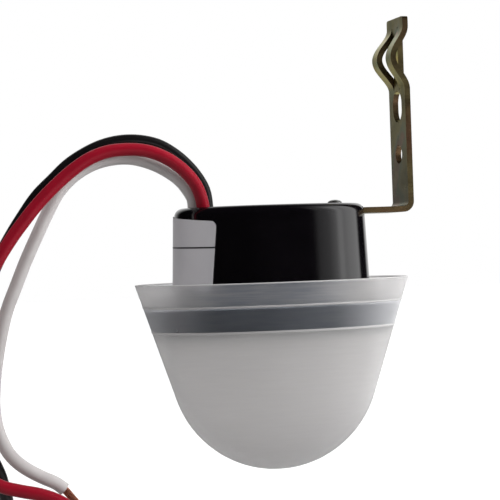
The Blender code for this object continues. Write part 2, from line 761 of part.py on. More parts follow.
def build_relay(model):
    """Sealed relay: case with rounded edges and the pins under it."""
    x, y = RELAY_PLACE
    base = BOARD_TOP + CLEARANCE
    case = bmesh.new()
    add_box(case, (x, y, base + RELAY_SIZE[2] / 2), RELAY_SIZE)
    bmesh.ops.bevel(case, geom=list(case.edges), offset=RELAY_EDGE, segments=2, profile=0.5, affect="EDGES")
    relay = model.add("relay", mesh_from("relay", case), finish("relay_blue", (0.02, 0.12, 0.35), 0.4))
    pins = bmesh.new()
    places = [(x + dx, y + dy) for dx, dy in RELAY_PIN_OFFSETS]
    upright_leads(pins, places, base + 2 * RELAY_EDGE, lead_end(), RELAY_PIN_RADIUS)
    boolean(relay, model.add("relay_pins", mesh_from("relay_pins", pins)), "UNION")
    return relay


def build_film_capacitor(model):
    """Dropper capacitor: boxed film part on two leads."""
    x, y = FILM_CAPACITOR_PLACE
    base = BOARD_TOP + LEAD_STANDOFF
    box = bmesh.new()
    add_box(box, (x, y, base + FILM_CAPACITOR_SIZE[2] / 2), FILM_CAPACITOR_SIZE)
    edges = list(box.edges)
    bmesh.ops.bevel(box, geom=edges, offset=CASE_EDGE, segments=2, profile=0.5, affect="EDGES")
    places = two_lead_places(FILM_CAPACITOR_PLACE, FILM_CAPACITOR_SIZE[0] / 2 - LEAD_BEND)
    return legged_component(
        model, "film_capacitor", mesh_from("film_capacitor", box), places,
        finish("capacitor_yellow", (0.55, 0.36, 0.05), 0.4), base + LEAD_BEND,
    )


def build_electrolytic(model):
    """Can capacitor standing on two leads, with its crimped neck."""
    base = BOARD_TOP + LEAD_STANDOFF
    radius, height = ELECTROLYTIC_RADIUS, ELECTROLYTIC_HEIGHT
    neck = radius * 0.9
    profile = [
        (0.0, base + height), (radius * 0.86, base + height), (radius, base + height - 0.0005),
        (radius, base + 0.0026), (neck, base + 0.0021), (radius, base + 0.0016), (radius, base), (0.0, base),
    ]
    sleeve = finish("capacitor_sleeve", (0.03, 0.04, 0.07), 0.35)
    can = turned(model, "electrolytic_turned", profile, (0.0, 0.0, 0.0), sleeve)
    mesh = model.evaluated_mesh(can)
    bpy.data.objects.remove(can, do_unlink=True)
    mesh.transform(Matrix.Translation((*ELECTROLYTIC_PLACE, 0.0)))
    mesh.materials.clear()
    shade(mesh)
    places = two_lead_places(ELECTROLYTIC_PLACE, radius / 2)
    return legged_component(model, "electrolytic_capacitor", mesh, places, sleeve, base + LEAD_BEND)


def build_varistor(model):
    """Surge varistor: a coated disc standing on two leads."""
    x, y = VARISTOR_PLACE
    disc = bmesh.new()
    centre_z = BOARD_TOP + LEAD_STANDOFF + VARISTOR_RADIUS
    add_cylinder(disc, (x, y, centre_z), VARISTOR_RADIUS, VARISTOR_THICKNESS, "Y", 28)
    rims = [edge for edge in disc.edges if len(edge.link_faces) == 2 and edge.calc_face_angle() > 1.0]
    bmesh.ops.bevel(disc, geom=rims, offset=0.0007, segments=2, profile=0.5, affect="EDGES")
    places = two_lead_places(VARISTOR_PLACE, VARISTOR_RADIUS - LEAD_BEND)
    return legged_component(
        model, "varistor", mesh_from("varistor", disc), places,
        finish("varistor_coat", (0.02, 0.10, 0.30), 0.45), centre_z,
    )


def build_transistor(model):
    """Small moulded transistor: a round case cut flat on one side, on three leads."""
    x, y = TRANSISTOR_PLACE
    base = BOARD_TOP + 4 * LEAD_STANDOFF
    case = bmesh.new()
    middle = (x, y, base + TRANSISTOR_HEIGHT / 2)
    add_cylinder(case, middle, TRANSISTOR_RADIUS, TRANSISTOR_HEIGHT, segments=24)
    flat = y + TRANSISTOR_RADIUS * 0.55
    cut = bmesh.ops.bisect_plane(
        case, geom=case.verts[:] + case.edges[:] + case.faces[:], plane_co=(x, flat, base),
        plane_no=(0.0, 1.0, 0.0), clear_outer=True,
    )
    rim = [item for item in cut["geom_cut"] if isinstance(item, bmesh.types.BMEdge)]
    bmesh.ops.edgeloop_fill(case, edges=rim)
    places = [(x + step * TRANSISTOR_PITCH, y) for step in (-1, 0, 1)]
    return legged_component(
        model, "transistor", mesh_from("transistor", case), places,
        finish("transistor_case", (0.02, 0.02, 0.02), 0.45), base + LEAD_BEND,
    )


def axial_component(model, name, place, turn, radius, length, bulge, material):
    """Lying component: a body on one wire that is bent down into the board at both ends."""
    x, y = place
    axis_height = BOARD_TOP + CLEARANCE + radius
    reach = length / 2 + LEAD_BEND
    route = [
        (-reach, lead_end()), (-reach, axis_height - LEAD_BEND / 2),
        (-reach + LEAD_BEND / 5, axis_height - LEAD_BEND / 6), (-reach + LEAD_BEND / 2, axis_height),
        (reach - LEAD_BEND / 2, axis_height), (reach - LEAD_BEND / 5, axis_height - LEAD_BEND / 6),
        (reach, axis_height - LEAD_BEND / 2), (reach, lead_end()),
    ]
    placing = Matrix.Translation((x, y, 0.0)) @ Matrix.Rotation(math.radians(turn), 4, "Z")
    wire = tube_mesh(model, name + "_lead", [(u, 0.0, v) for u, v in route], 2 * LEAD_RADIUS)
    wire.transform(placing)
    half = length / 2
    end = radius * (1.0 + bulge)
    waist = [(end, half * 0.55), (radius, half * 0.4), (radius, -half * 0.4), (end, -half * 0.55)]
    profile = [(0.0, half), (end * 0.75, half), (end, half - radius * 0.3)]
    profile += waist if bulge else []
    profile += [(end, -half + radius * 0.3), (end * 0.75, -half), (0.0, -half)]
    spun = turned(model, name + "_turned", profile, (0.0, 0.0, 0.0), material, 12)
    body = model.evaluated_mesh(spun)
    bpy.data.objects.remove(spun, do_unlink=True)
    lying = Matrix.Translation((0.0, 0.0, axis_height)) @ Matrix.Rotation(math.pi / 2, 4, "Y")
    body.transform(placing @ lying)
    piece = model.add(name, body, material)
    lead = model.add(name + "_wire", wire)
    boolean(piece, lead, "UNION")
    return piece


def build_axial_components(model):
    """Rectifier diodes, zener diode and resistors."""
    diode_finish = finish("diode_case", (0.03, 0.03, 0.03), 0.4)
    for count, place in enumerate(DIODE_PLACES, 1):
        name = f"rectifier_diode_{count}"
        axial_component(model, name, place, 90.0, DIODE_RADIUS, DIODE_LENGTH, 0.0, diode_finish)
    glass = finish("zener_glass", (0.45, 0.16, 0.06), 0.2)
    axial_component(model, "zener_diode", ZENER_PLACE, 90.0, ZENER_RADIUS, ZENER_LENGTH, 0.0, glass)
    coat = finish("resistor_coat", (0.55, 0.42, 0.26), 0.5)
    size = (RESISTOR_RADIUS, RESISTOR_LENGTH, RESISTOR_BULGE)
    for count, (x, y, turn) in enumerate(RESISTOR_PLACES, 1):
        axial_component(model, f"resistor_{count}", (x, y), turn, *size, coat)


def build_photoresistor(model):
    """Light cell under the board, facing the dome through the plate's window."""
    x, y = CELL_PLACE
    top = plate_top() - PLATE_THICKNESS - CLEARANCE + CELL_THICKNESS
    disc = bmesh.new()
    add_cylinder(disc, (x, y, top - CELL_THICKNESS / 2), CELL_RADIUS, CELL_THICKNESS, segments=28)
    rims = [edge for edge in disc.edges if edge.calc_face_angle() > 1.0]
    bmesh.ops.bevel(disc, geom=rims, offset=0.0003, segments=2, profile=0.5, affect="EDGES")
    face = finish("cell_face", (0.62, 0.42, 0.20), 0.25)
    piece = model.add("photoresistor", mesh_from("photoresistor", disc), face)
    leads = bmesh.new()
    upright_leads(leads, [lead[:2] for lead in cell_leads()], BOARD_TOP, top - LEAD_BEND / 2)
    boolean(piece, model.add("photoresistor_leads", mesh_from("photoresistor_leads", leads)), "UNION")
    return piece


# Strap bracket and rivet

def filleted_path(corners, radii, steps=5):
    """Points along a polyline whose inner corners are rounded by arcs of the given radii."""
    points = [Vector(corners[0])]
    for before, corner, after, radius in zip(corners[:-2], corners[1:-1], corners[2:], radii):
        inward = (Vector(before) - Vector(corner)).normalized()
        onward = (Vector(after) - Vector(corner)).normalized()
        half_angle = inward.angle(onward) / 2
        reach = radius / math.tan(half_angle)
        centre = Vector(corner) + (inward + onward).normalized() * radius / math.sin(half_angle)
        start = Vector(corner) + inward * reach - centre
        turn = math.pi - 2 * half_angle
        side = math.copysign(1.0, start.x * (-inward.y) - start.y * (-inward.x))
        for step in range(steps + 1):
            points.append(centre + rotate_2d(start, side * turn * step / steps))
    points.append(Vector(corners[-1]))
    return [(point.x, point.y) for point in points]


def rotate_2d(vector, angle):
    cosine, sine = math.cos(angle), math.sin(angle)
    return Vector((vector.x * cosine - vector.y * sine, vector.x * sine + vector.y * cosine))


def bow(across, height):
    """How far the strap is pressed back: one raised cosine wave on each outer strand."""
    share = (height - BOW_BOTTOM) / BOW_LENGTH
    if abs(across) < STRAP_WIDTH / 6 or not 0.0 < share < 1.0:
        return 0.0
    rise = BOW_RISE_BACK if across > 0.0 else BOW_RISE_FRONT
    return rise * (1.0 - math.cos(math.tau * share)) / 2


def strap_columns():
    """Cross positions of the strap's sheet: its edges and both sides of each slit."""
    third = STRAP_WIDTH / 6
    half = [third - SLIT_GAP / 2, third + SLIT_GAP / 2, STRAP_WIDTH / 2]
    return [-value for value in reversed(half)] + half


def strap_rows():
    """Rows of the sheet: (x, z) on the middle line, and whether the slits are open above it."""
    corners = strap_corners()
    radii = [STRAP_STEP_RADIUS, STRAP_STEP_RADIUS, STRAP_BEND_RADIUS]
    rows = [(x, z, False) for x, z in filleted_path(corners, radii)[:-1]]
    upright = corners[-1][0]
    for height in np.linspace(BOW_BOTTOM, BOW_BOTTOM + BOW_LENGTH, BOW_STEPS + 1):
        rows.append((upright, height, height < BOW_BOTTOM + BOW_LENGTH - CLEARANCE))
    rows.append((upright, STRAP_TIP_Z, False))
    return rows


def strap_sheet():
    """Middle surface of the strap: one flat blank, slit, then bent and pressed."""
    work = bmesh.new()
    columns = strap_columns()
    rows = strap_rows()
    grid = []
    for x, z, _ in rows:
        line = []
        for y in columns:
            line.append(work.verts.new((x - bow(y, z), y, z)))
        grid.append(line)
    slit_columns = (1, 3)
    for row, (_, _, slit) in enumerate(rows[:-1]):
        for column in range(len(columns) - 1):
            if slit and column in slit_columns:
                continue
            lower, upper = grid[row], grid[row + 1]
            work.faces.new((lower[column], lower[column + 1], upper[column + 1], upper[column]))
    for line, radius in ((grid[0], STRAP_END_CORNER), (grid[-1], STRAP_TIP_CORNER)):
        corners = [line[0], line[-1]]
        bmesh.ops.bevel(work, geom=corners, offset=radius, segments=4, profile=0.5, affect="VERTICES")
    return mesh_from("mounting_bracket", work)


def obround(length, width, steps=10):
    """Outline of a slot with round ends, long along its first axis."""
    radius = width / 2
    reach = length / 2 - radius
    points = []
    for side in (1, -1):
        for step in range(steps + 1):
            angle = side * math.pi / 2 - math.pi * step / steps
            if side == -1:
                angle = -math.pi / 2 - math.pi * step / steps
            points.append((side * reach + radius * math.cos(angle), radius * math.sin(angle)))
    return points


def build_bracket(model):
    """Strap bracket: pierced sheet, bent up past the body, with a slit and bowed end."""
    zinc = finish("yellow_zinc", (0.42, 0.38, 0.20), 0.35, 1.0)
    bracket = model.add("mounting_bracket", strap_sheet(), zinc)
    solidify = bracket.modifiers.new("gauge", "SOLIDIFY")
    solidify.thickness = STRAP_THICKNESS
    solidify.offset = 0.0
    solidify.use_even_offset = True
    upright = STRAP_FACE_X - STRAP_THICKNESS / 2
    reach = 4 * STRAP_THICKNESS
    holes = bmesh.new()
    add_cylinder(holes, (upright, 0.0, HANG_HOLE_Z), HANG_HOLE_RADIUS, reach, "X", 24)
    add_cylinder(holes, (RIVET_X, 0.0, BODY_TOP), RIVET_SHANK_RADIUS + CLEARANCE, reach, segments=20)
    boolean(bracket, model.add("strap_holes", mesh_from("strap_holes", holes)))
    stand_up = Matrix.Translation((upright, 0.0, SLOT_Z)) @ Matrix.Rotation(-math.pi / 2, 4, "Y")
    slot = model.solid_from_outline("strap_slot", obround(SLOT_LENGTH, SLOT_WIDTH), reach, stand_up)
    boolean(bracket, slot)
    return bracket


def build_rivet(model):
    """Rivet through strap and body, upset over a washer under the seat block."""
    head_seat = BODY_TOP + CLEARANCE
    head_top = head_seat + RIVET_HEAD_HEIGHT
    washer_top = seat_block_bottom() - CLEARANCE
    washer_bottom = washer_top - WASHER_THICKNESS
    tail_top = washer_bottom - CLEARANCE
    tail_bottom = tail_top - RIVET_TAIL_HEIGHT
    shank = RIVET_SHANK_RADIUS
    profile = [(0.0, head_top)]
    for step in range(1, 5):
        angle = math.pi / 2 * step / 4
        height = head_seat + RIVET_HEAD_HEIGHT * math.cos(angle)
        profile.append((RIVET_HEAD_RADIUS * math.sin(angle), height))
    profile += [(shank, head_seat), (shank, tail_top), (RIVET_TAIL_RADIUS, tail_top)]
    profile += [(RIVET_TAIL_RADIUS * 0.8, tail_bottom), (0.0, tail_bottom)]
    place = (RIVET_X, 0.0, 0.0)
    turned(model, "bracket_rivet", profile, place, finish("rivet_steel", (0.62, 0.62, 0.62), 0.28, 1.0))
    bore = shank + CLEARANCE
    ring = [
        (bore, washer_top), (WASHER_RADIUS, washer_top),
        (WASHER_RADIUS, washer_bottom), (bore, washer_bottom),
    ]
    turned(model, "rivet_washer", ring, place, finish("washer_steel", (0.58, 0.58, 0.56), 0.35, 1.0))


# Rating label

def body_arc_table(steps=720):
    """Length along the body's oval from its left tip, towards the front, with each angle."""
    half_length, half_depth, _ = body_oval(LABEL_MIDDLE_Z)
    angles = math.pi + np.linspace(-math.pi / 2, math.pi / 2, steps)
    points = np.array([oval_point(half_length, half_depth, angle) for angle in angles])
    runs = np.r_[0.0, np.cumsum(np.linalg.norm(np.diff(points, axis=0), axis=1))]
    return runs - runs[-1] / 2, angles


def label_sheet():
    """Flat sticker with round corners, turned askew, then wrapped on the body's oval wall."""
    columns, rows = 24, 4
    runs, angles = body_arc_table()
    work = bmesh.new()
    grid = []
    for row in range(rows + 1):
        line = []
        for column in range(columns + 1):
            u = (2.0 * column / columns - 1.0) * LABEL_HALF_WRAP
            v = (row / rows - 0.5) * LABEL_HEIGHT
            run = u * math.cos(LABEL_TILT) + v * math.sin(LABEL_TILT)
            height = LABEL_MIDDLE_Z + v * math.cos(LABEL_TILT) - u * math.sin(LABEL_TILT)
            half_length, half_depth, _ = body_oval(height, -LABEL_GAP)
            x, y = oval_point(half_length, half_depth, float(np.interp(run, runs, angles)))
            line.append(work.verts.new((x, y, height)))
        grid.append(line)
    for row in range(rows):
        for column in range(columns):
            lower, upper = grid[row], grid[row + 1]
            work.faces.new((lower[column], lower[column + 1], upper[column + 1], upper[column]))
    corners = [grid[0][0], grid[0][-1], grid[-1][0], grid[-1][-1]]
    bmesh.ops.bevel(work, geom=corners, offset=LABEL_CORNER / 2, segments=3, profile=0.5, affect="VERTICES")
    for face in work.faces:
        face.normal_update()
    if grid[rows // 2][columns // 2].link_faces[0].normal.x > 0.0:
        bmesh.ops.reverse_faces(work, faces=work.faces)
    mesh = bpy.data.meshes.new("rating_label")
    work.to_mesh(mesh)
    work.free()
    shade(mesh)
    return mesh


def build_label(model):
    """Rating label, bare of print."""
    label = model.add("rating_label", label_sheet(), finish("label_paper", (0.60, 0.61, 0.62), 0.4))
    solidify = label.modifiers.new("stock", "SOLIDIFY")
    solidify.thickness = LABEL_THICKNESS
    solidify.offset = 1.0
    return label


# Wires

def smooth_route(points, spacing):
    """Evenly spaced points on a smooth curve through the route's points.

    Each stretch is a cubic whose end slopes are the mean slopes of its neighbours.
    """
    points = np.array(points, dtype=float)
    runs = np.r_[0.0, np.cumsum(np.linalg.norm(np.diff(points, axis=0), axis=1))]
    slopes = np.gradient(points, runs, axis=0)
    count = max(4, round(runs[-1] / spacing) + 1)
    wanted = np.linspace(0.0, runs[-1], count)
    index = np.clip(np.searchsorted(runs, wanted, side="right") - 1, 0, len(runs) - 2)
    span = (runs[index + 1] - runs[index])[:, None]
    share = ((wanted - runs[index]) / span[:, 0])[:, None]
    start = (2 * share**3 - 3 * share**2 + 1) * points[index]
    start += (share**3 - 2 * share**2 + share) * span * slopes[index]
    end = (3 * share**2 - 2 * share**3) * points[index + 1]
    end += (share**3 - share**2) * span * slopes[index + 1]
    return start + end


def tube_curve(name, points, diameter, resolution=2):
    """Round curve object's data through the points, with filled ends."""
    curve = bpy.data.curves.new(name, "CURVE")
    curve.dimensions = "3D"
    curve.bevel_depth = diameter / 2
    curve.bevel_resolution = resolution
    curve.use_fill_caps = True
    spline = curve.splines.new("POLY")
    spline.points.add(len(points) - 1)
    for point, place in zip(spline.points, points):
        point.co = (*place, 1.0)
    return curve


def tube_mesh(model, name, points, diameter):
    """Mesh of a thin round tube, for a piece that is joined to others."""
    holder = model.add(name + "_curve", tube_curve(name, points, diameter, 1))
    mesh = model.evaluated_mesh(holder)
    bpy.data.objects.remove(holder, do_unlink=True)
    return mesh


def build_wires(model):
    """Three insulated lead wires, from the board out of the top, and their bare copper ends."""
    colours = {"black": (0.015, 0.015, 0.015), "red": (0.55, 0.03, 0.02), "white": (0.78, 0.78, 0.76)}
    copper = finish("bare_copper", (0.72, 0.36, 0.20), 0.35, 1.0)
    mouth = np.array([WIRE_HOLE_X, 0.0, BODY_TOP])
    for name, route in WIRE_ROUTES.items():
        x, y, _ = route[0]
        inside = [(x, y, BOARD_TOP + CLEARANCE - BODY_TOP), (x, y, WIRE_STRAIGHT_TOP)]
        insulated = smooth_route(mouth + np.array(inside + route), WIRE_POINT_SPACING)
        curve = tube_curve("wire_" + name, insulated, WIRE_DIAMETER)
        model.add("wire_" + name, curve, finish("insulation_" + name, colours[name], 0.4))
        end = Vector(insulated[-1])
        heading = (end - Vector(insulated[-2])).normalized()
        start = end + heading * CLEARANCE
        strands = [start] + [start + Vector((dx, 0.0, dz)) for dx, dz in STRAND_ENDS[name]]
        bare = smooth_route(strands, STRAND_BUNDLE_DIAMETER)
        model.add("copper_" + name, tube_curve("copper_" + name, bare, STRAND_BUNDLE_DIAMETER), copper)


def main():
    mount_height = (HANG_HOLE_Z + HANG_HOLE_RADIUS + SLOT_Z - SLOT_LENGTH / 2) / 2
    model = Model(Vector((-STRAP_FACE_X, 0.0, -mount_height)))
    build_cap(model)
    build_body(model)
    build_sensor_plate(model)
    build_plate_screws(model)
    build_board(model)
    build_relay(model)
    build_film_capacitor(model)
    build_electrolytic(model)
    build_varistor(model)
    build_transistor(model)
    build_axial_components(model)
    build_photoresistor(model)
    build_bracket(model)
    build_rivet(model)
    build_label(model)
    build_wires(model)


main()
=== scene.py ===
"""Looks of a photocell switch: an oval relay photo control with a deep frosted cap.

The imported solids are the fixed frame. Everything the eye meets, which is the cap, the body, the
strap bracket, the rivet, the sticker, the wires and their bare ends, is made here as smooth
surfaces that stand exactly where those solids are. The parts inside keep their solids and get
finishes of their own. Lengths are metres; heights in the classes count from the cap's rim.
"""

from __future__ import annotations

import json
import logging
import math
from dataclasses import dataclass
from enum import Enum

import bmesh
import bpy
import numpy as np
from mathutils import Matrix, Vector

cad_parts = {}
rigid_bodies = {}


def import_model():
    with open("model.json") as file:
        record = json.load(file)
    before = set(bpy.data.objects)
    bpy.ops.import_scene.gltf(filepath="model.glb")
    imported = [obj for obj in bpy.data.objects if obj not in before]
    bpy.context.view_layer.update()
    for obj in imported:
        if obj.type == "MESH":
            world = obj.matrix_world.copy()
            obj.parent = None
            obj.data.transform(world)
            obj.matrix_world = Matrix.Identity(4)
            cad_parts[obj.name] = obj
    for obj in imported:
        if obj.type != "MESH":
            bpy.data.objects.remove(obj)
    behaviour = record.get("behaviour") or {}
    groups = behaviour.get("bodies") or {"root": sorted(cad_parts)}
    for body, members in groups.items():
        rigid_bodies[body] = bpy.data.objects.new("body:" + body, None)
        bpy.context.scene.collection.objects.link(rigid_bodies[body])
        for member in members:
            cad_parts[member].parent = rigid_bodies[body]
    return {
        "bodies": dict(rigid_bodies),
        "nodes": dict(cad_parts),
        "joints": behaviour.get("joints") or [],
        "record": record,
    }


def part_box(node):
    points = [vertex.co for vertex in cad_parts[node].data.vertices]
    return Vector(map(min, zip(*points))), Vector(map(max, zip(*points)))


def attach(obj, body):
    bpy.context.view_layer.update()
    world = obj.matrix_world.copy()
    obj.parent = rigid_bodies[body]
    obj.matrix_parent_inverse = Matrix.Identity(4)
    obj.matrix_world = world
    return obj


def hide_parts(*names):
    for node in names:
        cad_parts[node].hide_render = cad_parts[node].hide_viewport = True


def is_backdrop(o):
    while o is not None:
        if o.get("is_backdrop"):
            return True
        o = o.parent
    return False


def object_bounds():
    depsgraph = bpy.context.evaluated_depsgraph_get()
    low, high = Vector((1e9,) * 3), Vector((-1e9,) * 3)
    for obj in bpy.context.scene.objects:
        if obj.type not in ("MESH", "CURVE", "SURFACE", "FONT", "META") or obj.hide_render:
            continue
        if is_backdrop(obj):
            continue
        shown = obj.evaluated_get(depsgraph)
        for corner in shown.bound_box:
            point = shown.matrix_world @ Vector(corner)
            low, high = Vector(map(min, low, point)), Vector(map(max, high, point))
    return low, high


LOG = logging.getLogger("photocell_switch")
BODY = "root"
UP = Vector((0.0, 0.0, 1.0))
WHITE = (1.0, 1.0, 1.0)
TENTH_MM = 0.0001
FLOOR_DROP = 0.03
Colour = tuple[float, float, float]
Piece = bpy.types.Object
Socket = bpy.types.NodeSocket


class Plan(Enum):
    """How a row or a column of a grid ends."""

    OPEN = "open"
    CLOSED = "closed"


# Surfaces


def stacked(*parts: np.ndarray | float) -> np.ndarray:
    """Coordinates side by side along a new last axis, broadcast against each other."""
    return np.stack(np.broadcast_arrays(*parts), axis=-1)


def full_turn(steps: int) -> np.ndarray:
    """Evenly spaced angles once round."""
    return np.linspace(0.0, math.tau, steps, endpoint=False)


def unit(vector: np.ndarray) -> np.ndarray:
    """The vector at length 1."""
    return vector / np.linalg.norm(vector)


def grid_faces(rows: int, columns: int, row_plan: Plan, column_plan: Plan) -> np.ndarray:
    """Corner numbers of the quads of a grid whose vertices run row by row.

    Args:
        rows: number of rows of vertices.
        columns: number of vertices in a row.
        row_plan: closed if the last row joins the first.
        column_plan: closed if the last column joins the first.

    Returns:
        An array of quads, four vertex numbers each.
    """
    numbers = np.arange(rows * columns).reshape(rows, columns)
    if row_plan is Plan.CLOSED:
        numbers = np.concatenate([numbers, numbers[:1]], axis=0)
    if column_plan is Plan.CLOSED:
        numbers = np.concatenate([numbers, numbers[:, :1]], axis=1)
    corners = (numbers[:-1, :-1], numbers[:-1, 1:], numbers[1:, 1:], numbers[1:, :-1])
    return np.stack(corners, axis=-1).reshape(-1, 4)


def link_object(name: str, data: bpy.types.ID) -> Piece:
    """New object at the origin round a mesh, curve, lamp or camera, linked to the scene."""
    piece = bpy.data.objects.new(name, data)
    bpy.context.scene.collection.objects.link(piece)
    return piece


def mesh_object(
    name: str, points: np.ndarray, faces: np.ndarray, uv: np.ndarray | None = None
) -> Piece:
    """Object at the origin from arrays of vertices and quads.

    Args:
        name: the piece's name.
        points: vertices, one row of three numbers each.
        faces: quads as vertex numbers.
        uv: a pair of numbers for each vertex, where the finish follows the surface.

    Returns:
        The object, linked to the scene.
    """
    mesh = bpy.data.meshes.new(name)
    mesh.from_pydata(points.reshape(-1, 3), [], faces)
    if uv is not None:
        layer = mesh.uv_layers.new(name="surface")
        loops = np.empty(len(mesh.loops), dtype=np.int32)
        mesh.loops.foreach_get("vertex_index", loops)
        layer.data.foreach_set("uv", uv.reshape(-1, 2)[loops].astype(np.float32).ravel())
    mesh.update()
    return link_object(name, mesh)


def grid_object(
    name: str, points: np.ndarray, row_plan: Plan, column_plan: Plan, uv: np.ndarray | None = None
) -> Piece:
    """Object at the origin from a grid of points.

    Args:
        name: the piece's name.
        points: rows of columns of points.
        row_plan: closed if the last row joins the first.
        column_plan: closed if the last column joins the first.
        uv: a pair of numbers for each point, where the finish follows the surface.

    Returns:
        The object, linked to the scene.
    """
    return mesh_object(name, points, grid_faces(*points.shape[:2], row_plan, column_plan), uv)


def weld(piece: Piece, distance: float = 1e-7) -> None:
    """Closes poles and seams, drops faces without area and points the rest outwards.

    Args:
        piece: a mesh object.
        distance: vertices nearer than this become one.
    """
    work = bmesh.new()
    work.from_mesh(piece.data)
    bmesh.ops.remove_doubles(work, verts=work.verts, dist=distance)
    bmesh.ops.dissolve_degenerate(work, edges=work.edges, dist=distance)
    bmesh.ops.recalc_face_normals(work, faces=work.faces)
    work.to_mesh(piece.data)
    work.free()


def smooth(piece: Piece, sharp_degrees: float = 35.0) -> None:
    """Smooth shading with the real edges kept sharp.

    Args:
        piece: a mesh object.
        sharp_degrees: edges that bend more than this stay sharp.
    """
    piece.data.shade_smooth()
    piece.data.set_sharp_from_angle(angle=math.radians(sharp_degrees))


def apply_modifiers(piece: Piece) -> None:
    """Turns a piece's modifiers into its mesh."""
    bpy.context.view_layer.update()
    graph = bpy.context.evaluated_depsgraph_get()
    mesh = bpy.data.meshes.new_from_object(piece.evaluated_get(graph))
    piece.modifiers.clear()
    piece.data = mesh


def combine(piece: Piece, tools: list[Piece], operation: str = "DIFFERENCE") -> None:
    """Takes the tools' space out of a piece, or joins them to it, and removes the tools.

    Args:
        piece: a closed mesh object.
        tools: closed mesh objects.
        operation: DIFFERENCE or UNION.
    """
    for tool in tools:
        step = piece.modifiers.new(tool.name, "BOOLEAN")
        step.object = tool
        step.operation = operation
        step.solver = "EXACT"
    apply_modifiers(piece)
    for tool in tools:
        bpy.data.objects.remove(tool, do_unlink=True)


def soften_edges(piece: Piece, width: float, degrees: float) -> None:
    """Small rounds on a piece's real edges, made part of its mesh.

    Args:
        piece: a mesh object.
        width: how far the round reaches from the edge.
        degrees: edges that bend more than this are rounded.
    """
    step = piece.modifiers.new("edges", "BEVEL")
    step.width = width
    step.segments = 2
    step.limit_method = "ANGLE"
    step.angle_limit = math.radians(degrees)
    step.harden_normals = False
    apply_modifiers(piece)


def turned_surface(name: str, profile: np.ndarray, place: Vector, segments: int = 64) -> Piece:
    """Turned piece: (r cos t, r sin t, z) for every profile point (r, z) and every angle t.

    Args:
        name: the piece's name.
        profile: radius and height of each point, from the top middle to the bottom middle.
        place: where the axis stands.
        segments: points round the axis.

    Returns:
        The closed piece.
    """
    angle = full_turn(segments)
    radius, height = profile[:, 0:1], profile[:, 1:2]
    points = stacked(radius * np.cos(angle), radius * np.sin(angle), height) + np.array(place)
    piece = grid_object(name, points, Plan.OPEN, Plan.CLOSED)
    weld(piece)
    smooth(piece)
    return piece


def run_lengths(points: np.ndarray) -> np.ndarray:
    """Length along a line up to each of its points."""
    return np.concatenate([[0.0], np.cumsum(np.linalg.norm(np.diff(points, axis=0), axis=1))])


def smooth_route(points: np.ndarray, spacing: float) -> np.ndarray:
    """Evenly spaced points on a smooth curve through a route's points.

    Each stretch between two points is the cubic Hermite curve whose end slopes are the mean
    slopes of the neighbouring stretches, weighed by their lengths.

    Args:
        points: the route, one row for each point.
        spacing: distance between the new points.

    Returns:
        The new points.
    """
    runs = run_lengths(points)
    slopes = np.gradient(points, runs, axis=0)
    wanted = np.linspace(0.0, runs[-1], max(4, round(runs[-1] / spacing) + 1))
    index = np.clip(np.searchsorted(runs, wanted, side="right") - 1, 0, len(runs) - 2)
    span = (runs[index + 1] - runs[index])[:, None]
    share = (wanted - runs[index])[:, None] / span
    start = (2 * share**3 - 3 * share**2 + 1) * points[index]
    start += (share**3 - 2 * share**2 + share) * span * slopes[index]
    end = (3 * share**2 - 2 * share**3) * points[index + 1]
    end += (share**3 - share**2) * span * slopes[index + 1]
    return start + end


# Shader nodes


